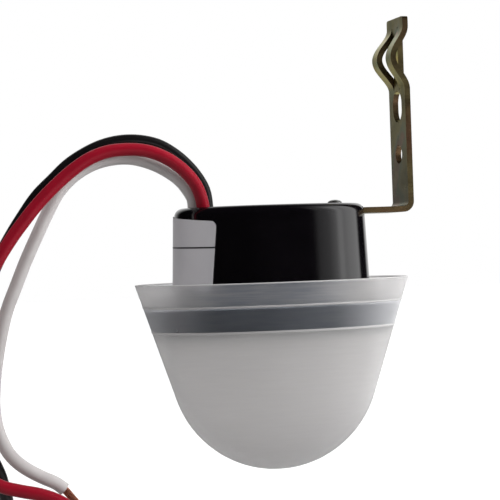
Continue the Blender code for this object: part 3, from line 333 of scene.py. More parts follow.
class Wiring:
    """Node tree with short calls for the nodes that groups, finishes and the world use."""

    def __init__(self, tree: bpy.types.NodeTree) -> None:
        """Keeps the tree that the calls build in."""
        self.tree = tree

    def feed(self, socket: Socket, value: object) -> None:
        """Links one socket into another, or sets it to a constant.

        Args:
            socket: the input that is fed.
            value: a socket, a number, a Vector, or a colour as a tuple.
        """
        if isinstance(value, Socket):
            self.tree.links.new(value, socket)
        else:
            socket.default_value = (*value, 1.0) if isinstance(value, tuple) else value

    def add(self, kind: str, inputs: dict[str | int, object], **settings: object) -> bpy.types.Node:
        """Places a node and feeds its inputs.

        Args:
            kind: the node's type without its prefix.
            inputs: what each input gets, by name or number.
            settings: properties of the node, set first.

        Returns:
            The node.
        """
        node = self.tree.nodes.new(f"ShaderNode{kind}")
        for name, setting in settings.items():
            setattr(node, name, setting)
        for label, value in inputs.items():
            self.feed(node.inputs[label], value)
        return node

    def math(self, operation: str, *values: object, clamp: bool = False) -> Socket:
        """Result of a Math node.

        Args:
            operation: what the node does.
            values: its inputs in order, sockets or numbers.
            clamp: keeps the result between 0 and 1.

        Returns:
            The result.
        """
        return self.add("Math", dict(enumerate(values)), operation=operation, use_clamp=clamp).outputs[0]

    def along(self, vector: Socket, direction: Vector) -> Socket:
        """How far a vector reaches along a direction."""
        node = self.add("VectorMath", {0: vector, 1: direction}, operation="DOT_PRODUCT")
        return node.outputs["Value"]

    def mix(self, factor: object, first: object, second: object, blend: str = "MIX") -> Socket:
        """Colour mixed by a mask.

        Args:
            factor: the mask, 0 where the first colour shows alone.
            first: a socket or a colour.
            second: a socket or a colour.
            blend: how the second colour is laid over the first.

        Returns:
            The mixed colour.
        """
        inputs = {"Factor": factor, "A": first, "B": second}
        return self.add("Mix", inputs, data_type="RGBA", blend_type=blend).outputs["Result"]

    def span(
        self,
        value: Socket,
        low: float,
        high: float,
        start: object = 0.0,
        end: object = 1.0,
        curve: str = "LINEAR",
    ) -> Socket:
        """Value that runs from low to high while another runs from start to end.

        Args:
            value: the value that leads.
            low: the result up to the start.
            high: the result from the end on.
            start: where the leading value starts to count.
            end: where it ends.
            curve: LINEAR, or SMOOTHSTEP for soft ends.

        Returns:
            The result.
        """
        inputs = {"Value": value, "From Min": start, "From Max": end, "To Min": low, "To Max": high}
        return self.add("MapRange", inputs, interpolation_type=curve).outputs["Result"]

    def noise(self, vector: Socket, scale: object, detail: float, roughness: object = 0.5) -> Socket:
        """Noise of some octaves at a place.

        Args:
            vector: the place.
            scale: how fine it is.
            detail: number of octaves.
            roughness: weight of the finer octaves.

        Returns:
            The value, 0 to 1.
        """
        inputs = {"Vector": vector, "Scale": scale, "Detail": detail, "Roughness": roughness}
        return self.add("TexNoise", inputs).outputs["Fac"]

    def ramp(self, factor: Socket, stops: list[tuple[float, Colour]]) -> Socket:
        """Colour looked up on a ramp.

        Args:
            factor: the value to look up.
            stops: position and colour of each stop.

        Returns:
            The colour.
        """
        node = self.add("ValToRGB", {"Fac": factor})
        band = node.color_ramp
        while len(band.elements) < len(stops):
            band.elements.new(0.5)
        for element, (position, colour) in zip(band.elements, stops):
            element.position = position
            element.color = (*colour, 1.0)
        return node.outputs["Color"]


class Effects:
    """Shader node groups that several finishes share, each built once."""

    _built: dict[str, bpy.types.NodeTree] = {}

    @classmethod
    def group(cls, name: str) -> bpy.types.NodeTree:
        """The named group, built on its first use.

        Args:
            name: fine_grain, cloudy_tint, dust_specks, drawn_streaks or end_fade.

        Returns:
            The node tree of the group.
        """
        if name not in cls._built:
            cls._built[name] = getattr(cls, f"_{name}")()
        return cls._built[name]

    @staticmethod
    def _start(name: str, outputs: list[str], **inputs: float | Colour) -> tuple:
        """Empty group with a Vector input and the other sockets that it needs.

        Args:
            name: the group's name.
            outputs: name of each output; Color is a colour, the others are numbers.
            inputs: default value of each input; a tuple is a colour.

        Returns:
            The wiring, what the group is given, and where its results go.
        """
        tree = bpy.data.node_groups.new(name, "ShaderNodeTree")
        tree.interface.new_socket("Vector", in_out="INPUT", socket_type="NodeSocketVector")
        net = Wiring(tree)
        for label, value in inputs.items():
            kind = "NodeSocketColor" if isinstance(value, tuple) else "NodeSocketFloat"
            net.feed(tree.interface.new_socket(label, in_out="INPUT", socket_type=kind), value)
        for label in outputs:
            kind = "NodeSocketColor" if label == "Color" else "NodeSocketFloat"
            tree.interface.new_socket(label, in_out="OUTPUT", socket_type=kind)
        return net, tree.nodes.new("NodeGroupInput").outputs, tree.nodes.new("NodeGroupOutput").inputs

    @classmethod
    def _fine_grain(cls) -> bpy.types.NodeTree:
        """Height of a fine moulded or blasted skin: noise of a few octaves."""
        net, given, result = cls._start("fine_grain", ["Height"], Scale=3000.0, Roughness=0.6)
        height = net.noise(given["Vector"], given["Scale"], 3.0, given["Roughness"])
        net.feed(result["Height"], height)
        return net.tree

    @classmethod
    def _cloudy_tint(cls) -> bpy.types.NodeTree:
        """Colour that drifts slowly between two tints, and the mask that drives it."""
        tints = {"First": (0.5, 0.5, 0.5), "Second": (0.6, 0.6, 0.6)}
        outputs = ["Color", "Mask"]
        net, given, result = cls._start("cloudy_tint", outputs, Scale=60.0, Contrast=1.0, **tints)
        drift = net.math("SUBTRACT", net.noise(given["Vector"], given["Scale"], 4.0), 0.5)
        mask = net.math("MULTIPLY_ADD", drift, given["Contrast"], 0.5, clamp=True)
        net.feed(result["Color"], net.mix(mask, given["First"], given["Second"]))
        net.feed(result["Mask"], mask)
        return net.tree

    @classmethod
    def _dust_specks(cls) -> bpy.types.NodeTree:
        """Mask of sparse specks: the middles of small cells."""
        net, given, result = cls._start("dust_specks", ["Mask"], Scale=700.0, Amount=0.1)
        cells = net.add("TexVoronoi", {"Vector": given["Vector"], "Scale": given["Scale"]})
        near = net.math("LESS_THAN", cells.outputs["Distance"], given["Amount"])
        net.feed(result["Mask"], near)
        return net.tree

    @classmethod
    def _drawn_streaks(cls) -> bpy.types.NodeTree:
        """Height of long fine streaks, as on rolled strip or a drawn sleeve."""
        net, given, result = cls._start("drawn_streaks", ["Height"], Scale=900.0, Along=0.03)
        stretch = net.add("CombineXYZ", {"X": 1.0, "Y": 1.0, "Z": given["Along"]}).outputs[0]
        scaled = net.add("VectorMath", {0: given["Vector"], 1: stretch}, operation="MULTIPLY").outputs[0]
        net.feed(result["Height"], net.noise(scaled, given["Scale"], 2.0))
        return net.tree

    @classmethod
    def _end_fade(cls) -> bpy.types.NodeTree:
        """Mask that runs smoothly from 0 near a place along X to 1 farther off, on both sides."""
        net, given, result = cls._start("end_fade", ["Mask"], Middle=0.0, Start=0.01, End=0.03)
        across = net.add("SeparateXYZ", {0: given["Vector"]}).outputs["X"]
        distance = net.math("ABSOLUTE", net.math("SUBTRACT", across, given["Middle"]))
        mask = net.span(distance, 0.0, 1.0, given["Start"], given["End"], "SMOOTHSTEP")
        net.feed(result["Mask"], mask)
        return net.tree


class Palette(Wiring):
    """Node tree of one material round its Principled shader."""

    def __init__(self, name: str) -> None:
        """Starts a material with its shader and its coordinates."""
        self.material = bpy.data.materials.new(name)
        self.material.use_nodes = True
        super().__init__(self.material.node_tree)
        self.shader = self.tree.nodes["Principled BSDF"]
        self.coordinates = self.add("TexCoord", {})

    @property
    def place(self) -> Socket:
        """Position on the object, in metres."""
        return self.coordinates.outputs["Object"]

    @property
    def height(self) -> Socket:
        """Height on the object, in metres."""
        return self.add("SeparateXYZ", {0: self.place}).outputs["Z"]

    def effect(self, name: str, **values: object) -> bpy.types.bpy_prop_collection:
        """Shared effect placed in this material.

        Args:
            name: which effect.
            values: its inputs; tuples are colours.

        Returns:
            The outputs of the group node.
        """
        return self.add("Group", {"Vector": self.place, **values}, node_tree=Effects.group(name)).outputs

    def cover(self, colour: Socket, mask: Socket, low: float, high: float) -> None:
        """Gives the shader its colour and a roughness that drifts with a mask.

        Args:
            colour: the colour.
            mask: the mask.
            low: roughness where the mask is 0.
            high: roughness where it is 1.
        """
        self.feed(self.shader.inputs["Base Color"], colour)
        self.feed(self.shader.inputs["Roughness"], self.span(mask, low, high))

    def set(self, **values: float) -> None:
        """Sets plain sockets of the shader; underscores stand for spaces."""
        for label, value in values.items():
            self.feed(self.shader.inputs[label.replace("_", " ")], value)

    def finish(
        self, effect: str, height: float, strength: float = 1.0, **values: float
    ) -> bpy.types.Material:
        """Lets a shared height stand out of the surface and closes the material.

        Args:
            effect: which effect gives the height.
            height: how far it stands out.
            strength: how much of it shows.
            values: the effect's inputs.

        Returns:
            The material.
        """
        relief = self.effect(effect, **values)["Height"]
        bump = self.add("Bump", {"Height": relief, "Distance": height, "Strength": strength})
        self.feed(self.shader.inputs["Normal"], bump.outputs["Normal"])
        return self.material


# Finishes

# Faint rounds that the mould leaves on the cap
MOULD_ROUNDS = {"Scale": 110.0, "Along": 15.0}
# Colours of the chromate film, and a brightness from the strap's foot to its tip: painted shade low down, a
# painted highlight round the bow
ZINC_FILM = [
    (0.0, (0.33, 0.31, 0.11)), (0.30, (0.58, 0.51, 0.16)), (0.50, (0.68, 0.60, 0.27)),
    (0.68, (0.50, 0.57, 0.31)), (0.85, (0.72, 0.48, 0.31)), (1.0, (0.80, 0.64, 0.34)),
]
ZINC_PAINTED_LIGHT = [
    (0.0, (0.30, 0.30, 0.29)), (0.16, (0.36, 0.36, 0.34)), (0.36, (0.60, 0.60, 0.60)),
    (0.56, (0.62, 0.62, 0.60)), (0.68, (0.98, 0.98, 0.90)), (0.84, (0.98, 0.98, 0.90)),
    (0.93, (0.80, 0.82, 0.95)),
]


def tone(colour: Colour, factor: float) -> Colour:
    """A colour made lighter or darker by a factor, no channel above 1."""
    return tuple(min(1.0, channel * factor) for channel in colour)


@dataclass(frozen=True)
class FrostedPlastic:
    """Milky moulded plastic that light passes through, blurred, with faint rounds from the mould."""

    name: str
    band_low: float
    band_high: float
    middle: float
    fade_start: float
    fade_end: float
    tint: Colour = (0.65, 0.64, 0.635)
    second_tint: Colour = (0.68, 0.67, 0.67)
    streak_tint: Colour = (0.76, 0.75, 0.75)
    # Painted shade above the band where the black body shows through, lighter in streaks
    brow_painted_shade: Colour = (0.375, 0.40, 0.455)
    brow_streak_painted_shade: Colour = (0.56, 0.56, 0.585)
    # Painted light towards both ends of the oval
    end_painted_light: Colour = (0.71, 0.70, 0.70)
    # Painted shade just under the band, and how far it reaches
    shade_tint: Colour = (0.58, 0.58, 0.58)
    shade_depth: float = 0.0030
    edge: float = 0.0003
    clearness: float = 0.80
    roughness: float = 0.40
    roughness_drift: float = 0.03
    refraction: float = 1.30

    def build(self) -> bpy.types.Material:
        """The material: painted shade above the band, where the black body shows through, that clears to
        painted light towards the ends, and a soft painted shade just under the band.
        """
        palette = Palette(self.name)
        tint = palette.effect("cloudy_tint", Scale=45.0, First=self.tint, Second=self.second_tint)
        rounds = palette.effect("drawn_streaks", **MOULD_ROUNDS)["Height"]
        # Mask of the painted light towards both ends of the oval
        ends = palette.effect("end_fade", Middle=self.middle, Start=self.fade_start, End=self.fade_end)
        shade = self.band_low - self.shade_depth, self.band_low
        edge = self.band_high - self.edge, self.band_high + self.edge
        # Painted shade just under the band
        painted_shade_under = palette.span(palette.height, 0.0, 1.0, *shade, "SMOOTHSTEP")
        above = palette.span(palette.height, 0.0, 1.0, *edge, "SMOOTHSTEP")
        # Painted shade above the band where the black body shows through, lighter along the mould rounds
        streaked_brow_shade = palette.mix(palette.span(rounds, low=-0.7, high=1.4), self.brow_painted_shade, self.brow_streak_painted_shade)
        painted_brow = palette.mix(ends["Mask"], streaked_brow_shade, self.end_painted_light)
        wall = palette.mix(above, palette.mix(painted_shade_under, tint["Color"], self.shade_tint), painted_brow)
        streaked = palette.mix(palette.span(rounds, low=-0.2, high=0.45), wall, self.streak_tint)
        drift = self.roughness_drift
        palette.cover(streaked, tint["Mask"], self.roughness - drift, self.roughness + drift)
        palette.set(Transmission_Weight=self.clearness, IOR=self.refraction, Metallic=0.0)
        return palette.finish("fine_grain", height=0.00002, strength=0.2, Scale=1200.0, Roughness=0.5)


@dataclass(frozen=True)
class GrippedPlastic:
    """Frosted plastic against the black flange, with painted shade in its colour where the flange shows
    through.

    Towards both ends of the oval the painted shade fades to painted light.
    """

    middle: float
    fade_start: float
    fade_end: float
    name: str = "gripped_plastic_painted_shade"
    # Painted shade of the black flange seen through the plastic, and painted light towards the ends
    tint: Colour = (0.094, 0.108, 0.140)
    end_painted_light: Colour = (0.70, 0.71, 0.75)
    streak_tint: Colour = (0.175, 0.185, 0.212)
    clearness: float = 0.80
    smoothest: float = 0.27
    roughest: float = 0.35
    refraction: float = 1.45
    gloss: float = 1.0

    def build(self) -> bpy.types.Material:
        """The material."""
        palette = Palette(self.name)
        lighter = tone(self.tint, 1.35)
        tint = palette.effect("cloudy_tint", Scale=120.0, First=self.tint, Second=lighter, Contrast=2.0)
        rounds = palette.effect("drawn_streaks", **MOULD_ROUNDS)["Height"]
        # Mask of the painted light towards both ends of the oval
        ends = palette.effect("end_fade", Middle=self.middle, Start=self.fade_start, End=self.fade_end)
        streaked = palette.mix(palette.span(rounds, low=-0.5, high=0.9), tint["Color"], self.streak_tint)
        painted_light_at_ends = palette.mix(ends["Mask"], streaked, self.end_painted_light)
        palette.cover(painted_light_at_ends, tint["Mask"], self.smoothest, self.roughest)
        palette.set(Transmission_Weight=self.clearness, IOR=self.refraction, Metallic=0.0)
        palette.set(Specular_IOR_Level=self.gloss)
        return palette.finish("fine_grain", height=0.00002, strength=0.2, Scale=1200.0, Roughness=0.5)


@dataclass(frozen=True)
class MilkyRib:
    """Thicker milky plastic that scatters light instead of letting it through."""

    name: str = "milky_rib"
    tint: Colour = (0.58, 0.57, 0.57)
    clearness: float = 0.30
    roughness: float = 0.45
    roughness_drift: float = 0.05

    def build(self) -> bpy.types.Material:
        """The material."""
        palette = Palette(self.name)
        darker = tone(self.tint, 0.93)
        tint = palette.effect("cloudy_tint", Scale=90.0, First=darker, Second=self.tint, Contrast=2.0)
        drift = self.roughness_drift
        palette.cover(tint["Color"], tint["Mask"], self.roughness - drift, self.roughness + drift)
        palette.set(Transmission_Weight=self.clearness, IOR=1.3)
        return palette.finish("fine_grain", height=0.00002, strength=0.35, Scale=1800.0, Roughness=0.5)


@dataclass(frozen=True)
class MouldedPlastic:
    """Opaque moulded plastic with a fine skin and a little dust."""

    name: str
    colour: Colour
    roughness: float = 0.4
    drift: float = 0.12
    grain_size: float = 0.0004
    grain_height: float = 0.00001
    dust: float = 0.04
    coat: float = 0.0
    gloss: float = 0.5

    def build(self) -> bpy.types.Material:
        """The material."""
        palette = Palette(self.name)
        darker, lighter = tone(self.colour, 1.0 - self.drift), tone(self.colour, 1.0 + self.drift)
        tint = palette.effect("cloudy_tint", Scale=130.0, First=darker, Second=lighter, Contrast=2.0)
        specks = palette.effect("dust_specks", Scale=900.0, Amount=self.dust)
        dusty = tuple(0.6 * channel + 0.08 for channel in self.colour)
        colour = palette.mix(specks["Mask"], tint["Color"], dusty)
        palette.cover(colour, tint["Mask"], low=self.roughness * 0.88, high=self.roughness * 1.12)
        palette.set(Coat_Weight=self.coat, Specular_IOR_Level=self.gloss)
        return palette.finish("fine_grain", height=self.grain_height, Scale=1.0 / self.grain_size)


@dataclass(frozen=True)
class YellowZinc:
    """Zinc plate under yellow chromate: olive to gold, with green and pink in the film.

    It is darker towards the strap's foot as painted shade and brightest round the bow as a painted highlight.
    """

    foot: float
    tip: float
    name: str = "yellow_zinc_film"
    worn_tint: Colour = (0.33, 0.26, 0.17)
    smoothest: float = 0.24
    roughest: float = 0.40

    def build(self) -> bpy.types.Material:
        """The material."""
        palette = Palette(self.name)
        film = palette.ramp(palette.effect("cloudy_tint", Scale=85.0, Contrast=2.6)["Mask"], ZINC_FILM)
        blotch = palette.effect("cloudy_tint", Scale=240.0, Contrast=1.6)["Mask"]
        worn = palette.mix(palette.span(blotch, low=0.0, high=0.3), film, self.worn_tint)
        # Painted shade low on the strap and a painted highlight round the bow, by height
        depth = palette.ramp(palette.span(palette.height, 0.0, 1.0, self.foot, self.tip), ZINC_PAINTED_LIGHT)
        palette.cover(palette.mix(1.0, worn, depth, "MULTIPLY"), blotch, self.smoothest, self.roughest)
        palette.set(Metallic=1.0)
        return palette.finish("drawn_streaks", height=0.00002, strength=0.5, Scale=1500.0, Along=0.06)


@dataclass(frozen=True)
class ShearedEdge:
    """Cut edge of the plated strip: brown, rougher, torn across in places."""

    name: str = "sheared_edge"
    first: Colour = (0.060, 0.044, 0.024)
    second: Colour = (0.185, 0.152, 0.070)
    rust: Colour = (0.150, 0.070, 0.044)
    smoothest: float = 0.42
    roughest: float = 0.54

    def build(self) -> bpy.types.Material:
        """The material."""
        palette = Palette(self.name)
        film = palette.effect("cloudy_tint", Scale=150.0, First=self.first, Second=self.second, Contrast=3.0)
        patch = palette.effect("cloudy_tint", Scale=70.0, Contrast=5.0)["Mask"]
        rusty = palette.mix(palette.span(patch, low=0.0, high=0.6), film["Color"], self.rust)
        palette.cover(rusty, film["Mask"], self.smoothest, self.roughest)
        palette.set(Metallic=1.0)
        return palette.finish("drawn_streaks", height=0.00006, strength=0.6, Scale=260.0, Along=7.0)


@dataclass(frozen=True)
class BareMetal:
    """Plain metal with drifting polish and fine scratches."""

    name: str
    colour: Colour
    roughness: float = 0.3
    drift: float = 0.15
    mark_size: float = 0.0003
    mark_height: float = 0.00001

    def build(self) -> bpy.types.Material:
        """The material."""
        palette = Palette(self.name)
        darker = tone(self.colour, 1.0 - self.drift)
        tint = palette.effect("cloudy_tint", Scale=700.0, First=darker, Second=self.colour, Contrast=2.0)
        worn, polished = self.roughness * 1.25, self.roughness * 0.85
        palette.cover(tint["Color"], tint["Mask"], low=worn, high=polished)
        palette.set(Metallic=1.0)
        scale = 1.0 / self.mark_size
        return palette.finish("drawn_streaks", height=self.mark_height, Scale=scale, Along=0.15)


@dataclass(frozen=True)
class StickerStock:
    """Satin grey sticker without print, crossed by one thin dark rule."""

    name: str = "sticker_stock"
    colour: Colour = (0.44, 0.43, 0.45)
    rule_colour: Colour = (0.012, 0.012, 0.014)
    rule_place: float = 0.514
    rule_slope: float = 0.112
    rule_half_width: float = 0.012
    smoothest: float = 0.33
    roughest: float = 0.43

    def build(self) -> bpy.types.Material:
        """The material; the rule follows the sticker's own UV map, rising by its slope."""
        palette = Palette(self.name)
        lighter = tone(self.colour, 1.07)
        tint = palette.effect("cloudy_tint", Scale=240.0, First=self.colour, Second=lighter, Contrast=1.6)
        surface = palette.add("SeparateXYZ", {0: palette.coordinates.outputs["UV"]}).outputs
        rise = palette.math("MULTIPLY", surface["X"], self.rule_slope)
        level = palette.math("SUBTRACT", surface["Y"], rise)
        rule = palette.math("COMPARE", level, self.rule_place, self.rule_half_width)
        ruled = palette.mix(rule, tint["Color"], self.rule_colour)
        palette.cover(ruled, tint["Mask"], self.smoothest, self.roughest)
        return palette.finish("fine_grain", height=0.000008, Scale=2600.0)


@dataclass(frozen=True)
class WireSleeve:
    """Extruded soft plastic sleeve: even colour, satin skin and faint smudges."""

    name: str
    colour: Colour
    smudge: Colour
    roughness: float = 0.33
    gloss: float = 0.35

    def build(self) -> bpy.types.Material:
        """The material."""
        palette = Palette(self.name)
        tint = palette.effect("cloudy_tint", Scale=160.0, First=self.colour, Second=self.smudge, Contrast=1.5)
        clean, smudged = self.roughness * 0.85, self.roughness * 1.2
        palette.cover(tint["Color"], tint["Mask"], low=clean, high=smudged)
        palette.set(Specular_IOR_Level=self.gloss)
        return palette.finish("fine_grain", height=0.00002, strength=0.6, Scale=1100.0)


@dataclass(frozen=True)
class BoardLaminate:
    """Brown paper laminate with a weave of fibres and darker flecks."""

    name: str = "board_laminate"
    colour: Colour = (0.30, 0.19, 0.08)
    smoothest: float = 0.35
    roughest: float = 0.50

    def build(self) -> bpy.types.Material:
        """The material."""
        palette = Palette(self.name)
        darker = tone(self.colour, 0.75)
        tint = palette.effect("cloudy_tint", Scale=500.0, First=darker, Second=self.colour, Contrast=2.5)
        flecks = palette.effect("dust_specks", Scale=1500.0, Amount=0.16)["Mask"]
        palette.cover(palette.mix(flecks, tint["Color"], darker), tint["Mask"], self.smoothest, self.roughest)
        return palette.finish("fine_grain", height=0.00002, Scale=2200.0)


def dress(piece: Piece, *materials: bpy.types.Material) -> None:
    """Gives a piece these materials in place of any it has."""
    piece.data.materials.clear()
    for material in materials:
        piece.data.materials.append(material)


def face_values(piece: Piece, name: str) -> np.ndarray:
    """A vector of every face, its center or normal, one row each."""
    values = np.empty(3 * len(piece.data.polygons), dtype=np.float32)
    piece.data.polygons.foreach_get(name, values)
    return values.reshape(-1, 3)


def dress_faces(piece: Piece, zone: np.ndarray) -> None:
    """Gives every face the material of its zone's number."""
    piece.data.polygons.foreach_set("material_index", zone.astype(np.int32))
    piece.data.update()


# Sub-assemblies


@dataclass
class Oval:
    """Plan that the cap, the body and the sticker share.

    A point at angle t is (a s(cos t), b s(sin t)) with s(c) = sign(c) |c|^(2 / power).
    """

    centre: Vector
    power: float = 2.15

    def rings(
        self, half_length: np.ndarray, half_depth: np.ndarray, height: np.ndarray, angle: np.ndarray
    ) -> np.ndarray:
        """Points for arrays of half axes and heights, broadcast against the angles.

        Args:
            half_length: half axis along X.
            half_depth: half axis along Y.
            height: height above the rim.
            angle: angle about Z.

        Returns:
            Points in the object's frame.
        """
        exponent = 2.0 / self.power
        cosine, sine = np.cos(angle), np.sin(angle)
        x = half_length * np.sign(cosine) * np.abs(cosine) ** exponent
        y = half_depth * np.sign(sine) * np.abs(sine) ** exponent
        return stacked(x, y, height) + np.array(self.centre)


def section(points: list[tuple[float, float]], fillets: dict[int, float], steps: int = 5) -> np.ndarray:
    """Section line with some corners rounded by quadratic curves.

    A rounded corner P between A and B is the curve (1-t)^2 A + 2t(1-t) P + t^2 B.

    Args:
        points: corners as (half length, height).
        fillets: reach of the rounding at each corner's number.
        steps: points on each rounded corner.

    Returns:
        The finished points.
    """
    corners = np.array(points)
    made: list[np.ndarray] = []
    share = np.linspace(0.0, 1.0, steps)[:, None]
    for number, corner in enumerate(corners):
        reach = fillets.get(number, 0.0)
        if reach <= 0.0:
            made.append(corner[None])
            continue
        before, after = corners[number - 1] - corner, corners[number + 1] - corner
        start, end = corner + unit(before) * reach, corner + unit(after) * reach
        made.append((1 - share) ** 2 * start + 2 * share * (1 - share) * corner + share**2 * end)
    return np.concatenate(made)


@dataclass
class Cap:
    """Frosted cap: a cone that ends in a round dome, with its seat for the body's flange.

    The brow and grip fades say where the painted shade above and in the band is darkest and where it
    starts and ends to fade to painted light on both sides, as shares of the half length.
    """

    oval: Oval
    half_length: float
    half_depth: float
    height: float
    taper: float = math.radians(18.1)
    wall: float = 0.0013
    flange_top: float = -0.0070
    flange_height: float = 0.0057
    clearance: float = 0.0003
    bead: float = 0.0006
    bead_height: float = 0.0010
    ledge: float = 0.0011
    ledge_lead: float = 0.0006
    rim_round: float = 0.0003
    bead_round: float = 0.0002
    inner_round: float = 0.00025
    segments: int = 180
    dome_steps: int = 28
    cone_steps: int = 12
    # Where the painted shade above and in the band fades to painted light towards the ends
    brow_painted_light_fade: tuple[float, float, float] = (-0.22, 0.12, 0.74)
    grip_painted_light_fade: tuple[float, float, float] = (-0.17, 0.36, 0.96)

    def inner_half_length(self, height: float) -> float:
        """Inner half length of the cone at a height."""
        return self.half_length + height * math.tan(self.taper) - self.wall / math.cos(self.taper)

    def inner_ratio(self) -> float:
        """Depth over length of the inner face."""
        return (self.half_depth - self.wall) / (self.half_length - self.wall)

    def dome(self, wall: float) -> np.ndarray:
        """Dome as (half length, height): one arc tangent to the cone, from the cone to the pole."""
        drop = self.height * math.tan(self.taper)
        outer = (self.half_length - drop) * math.cos(self.taper) / (1.0 - math.sin(self.taper))
        angle = np.linspace(self.taper, math.pi / 2, self.dome_steps)
        radius = outer - wall
        return stacked(radius * np.cos(angle), outer - self.height - radius * np.sin(angle))

    def band(self) -> tuple[float, float]:
        """Heights of the middles of the two ribs, which bound the band that grips the flange."""
        low = self.flange_top - self.flange_height - self.clearance
        return low, self.flange_top + self.clearance + self.bead_height / 2

    def dress_zones(self, piece: Piece) -> None:
        """Frosted wall, band with painted shade where it grips the black flange, milky cut edge along the
        rim.

        Args:
            piece: the finished cap.
        """
        low, high = (self.oval.centre.z + level for level in self.band())
        # Placement of the painted light towards the ends, for the brow and for the band
        painted_brow, grip_painted_light = self.half_length * np.array([self.brow_painted_light_fade, self.grip_painted_light_fade])
        middle = self.oval.centre.x
        wall = FrostedPlastic("frosted_plastic", low, high, middle + painted_brow[0], *painted_brow[1:])
        band = GrippedPlastic(middle + grip_painted_light[0], *grip_painted_light[1:])
        dress(piece, wall.build(), band.build(), MilkyRib("milky_rim").build())
        centres, normals = face_values(piece, "center"), face_values(piece, "normal")
        outward = ((centres - np.array(self.oval.centre))[:, :2] * normals[:, :2]).sum(axis=1) > 0.0
        banded = outward & (centres[:, 2] > low) & (centres[:, 2] < high)
        rim = centres[:, 2] > self.oval.centre.z - self.rim_round
        dress_faces(piece, np.where(rim, 2, np.where(banded, 1, 0)))

    def seat(self) -> np.ndarray:
        """Inner face from the rim to under the ledge: snap bead, gap for the flange, ledge."""
        bead_bottom = self.flange_top + self.clearance
        ledge_top = self.flange_top - self.flange_height - self.clearance
        at = self.inner_half_length
        points = [
            (at(0.0), 0.0),
            (at(bead_bottom + self.bead_height), bead_bottom + self.bead_height),
            (at(bead_bottom) - self.bead, bead_bottom + self.bead_height / 2),
            (at(bead_bottom), bead_bottom),
            (at(ledge_top), ledge_top),
            (at(ledge_top) - self.ledge, ledge_top),
            (at(ledge_top) - self.ledge * 0.98, ledge_top - self.ledge_lead),
        ]
        return section(points, {1: self.bead_round, 2: self.inner_round, 5: self.inner_round})

    def build(self) -> Piece:
        """The cap as one closed wall, outer face and inner face lofted in one run."""
        outer = self.dome(0.0)
        levels = np.sort([*np.linspace(0.0, outer[0][1], self.cone_steps), *self.band()])[::-1]
        cone = stacked(self.half_length + levels * math.tan(self.taper), levels)
        edge = [(self.half_length, 0.0), (self.inner_half_length(0.0), 0.0)]
        rounds = {1: self.rim_round, 2: self.rim_round}
        rim = section([tuple(cone[1]), *edge, tuple(self.seat()[1])], rounds)[1:-1]
        half = len(rim) // 2
        outer_run = np.concatenate([outer[::-1], cone[1:-1][::-1], rim[:half]])
        inner_run = np.concatenate([rim[half:], self.seat()[1:], self.dome(self.wall)])
        run = np.concatenate([outer_run, inner_run])
        ratios = self.half_depth / self.half_length, self.inner_ratio()
        ratio = np.repeat(ratios, [len(outer_run), len(inner_run)])
        run[[0, -1], 0] = 0.0
        angle = full_turn(self.segments)
        points = self.oval.rings(run[:, :1], run[:, :1] * ratio[:, None], run[:, 1:], angle)
        piece = grid_object("frosted_cap_shell", points, Plan.OPEN, Plan.CLOSED)
        weld(piece)
        smooth(piece, sharp_degrees=50.0)
        self.dress_zones(piece)
        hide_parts("translucent_cap")
        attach(piece, BODY)
        return piece


@dataclass
class CapRibs:
    """Two fine ribs round the cap, above and below its grip on the flange."""

    cap: Cap
    upper_width: float = 0.00055
    lower_width: float = 0.00075
    proud: float = 0.00012
    sunk: float = 0.00010
    steps: int = 8

    def ring(self, middle: float, width: float) -> np.ndarray:
        """Lens-shaped section swept round the cap.

        A point at angle t of the section stands (proud or sunk) sin(t) off the cap's face and
        (width / 2) cos(t) above the rib's middle.

        Args:
            middle: height of the rib's middle.
            width: height of the rib.

        Returns:
            Points, one row for each step of the section.
        """
        turn = full_turn(2 * self.steps)
        height = middle + width / 2 * np.cos(turn)
        off = np.where(np.sin(turn) > 0.0, self.proud, self.sunk) * np.sin(turn)
        length = self.cap.half_length + height * math.tan(self.cap.taper)
        depth = length * self.cap.half_depth / self.cap.half_length
        angle = full_turn(self.cap.segments)
        return self.cap.oval.rings((length + off)[:, None], (depth + off)[:, None], height[:, None], angle)

    def build(self) -> Piece:
        """Both ribs as one piece."""
        cap = self.cap
        low, high = cap.band()
        upper, lower = self.ring(high, self.upper_width), self.ring(low, self.lower_width)
        faces = grid_faces(2 * self.steps, cap.segments, Plan.CLOSED, Plan.CLOSED)
        both = np.concatenate([faces, faces + upper[..., 0].size])
        piece = mesh_object("cap_ribs", np.concatenate([upper, lower]), both)
        weld(piece)
        smooth(piece, sharp_degrees=80.0)
        dress(piece, MilkyRib().build())
        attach(piece, BODY)
        return piece


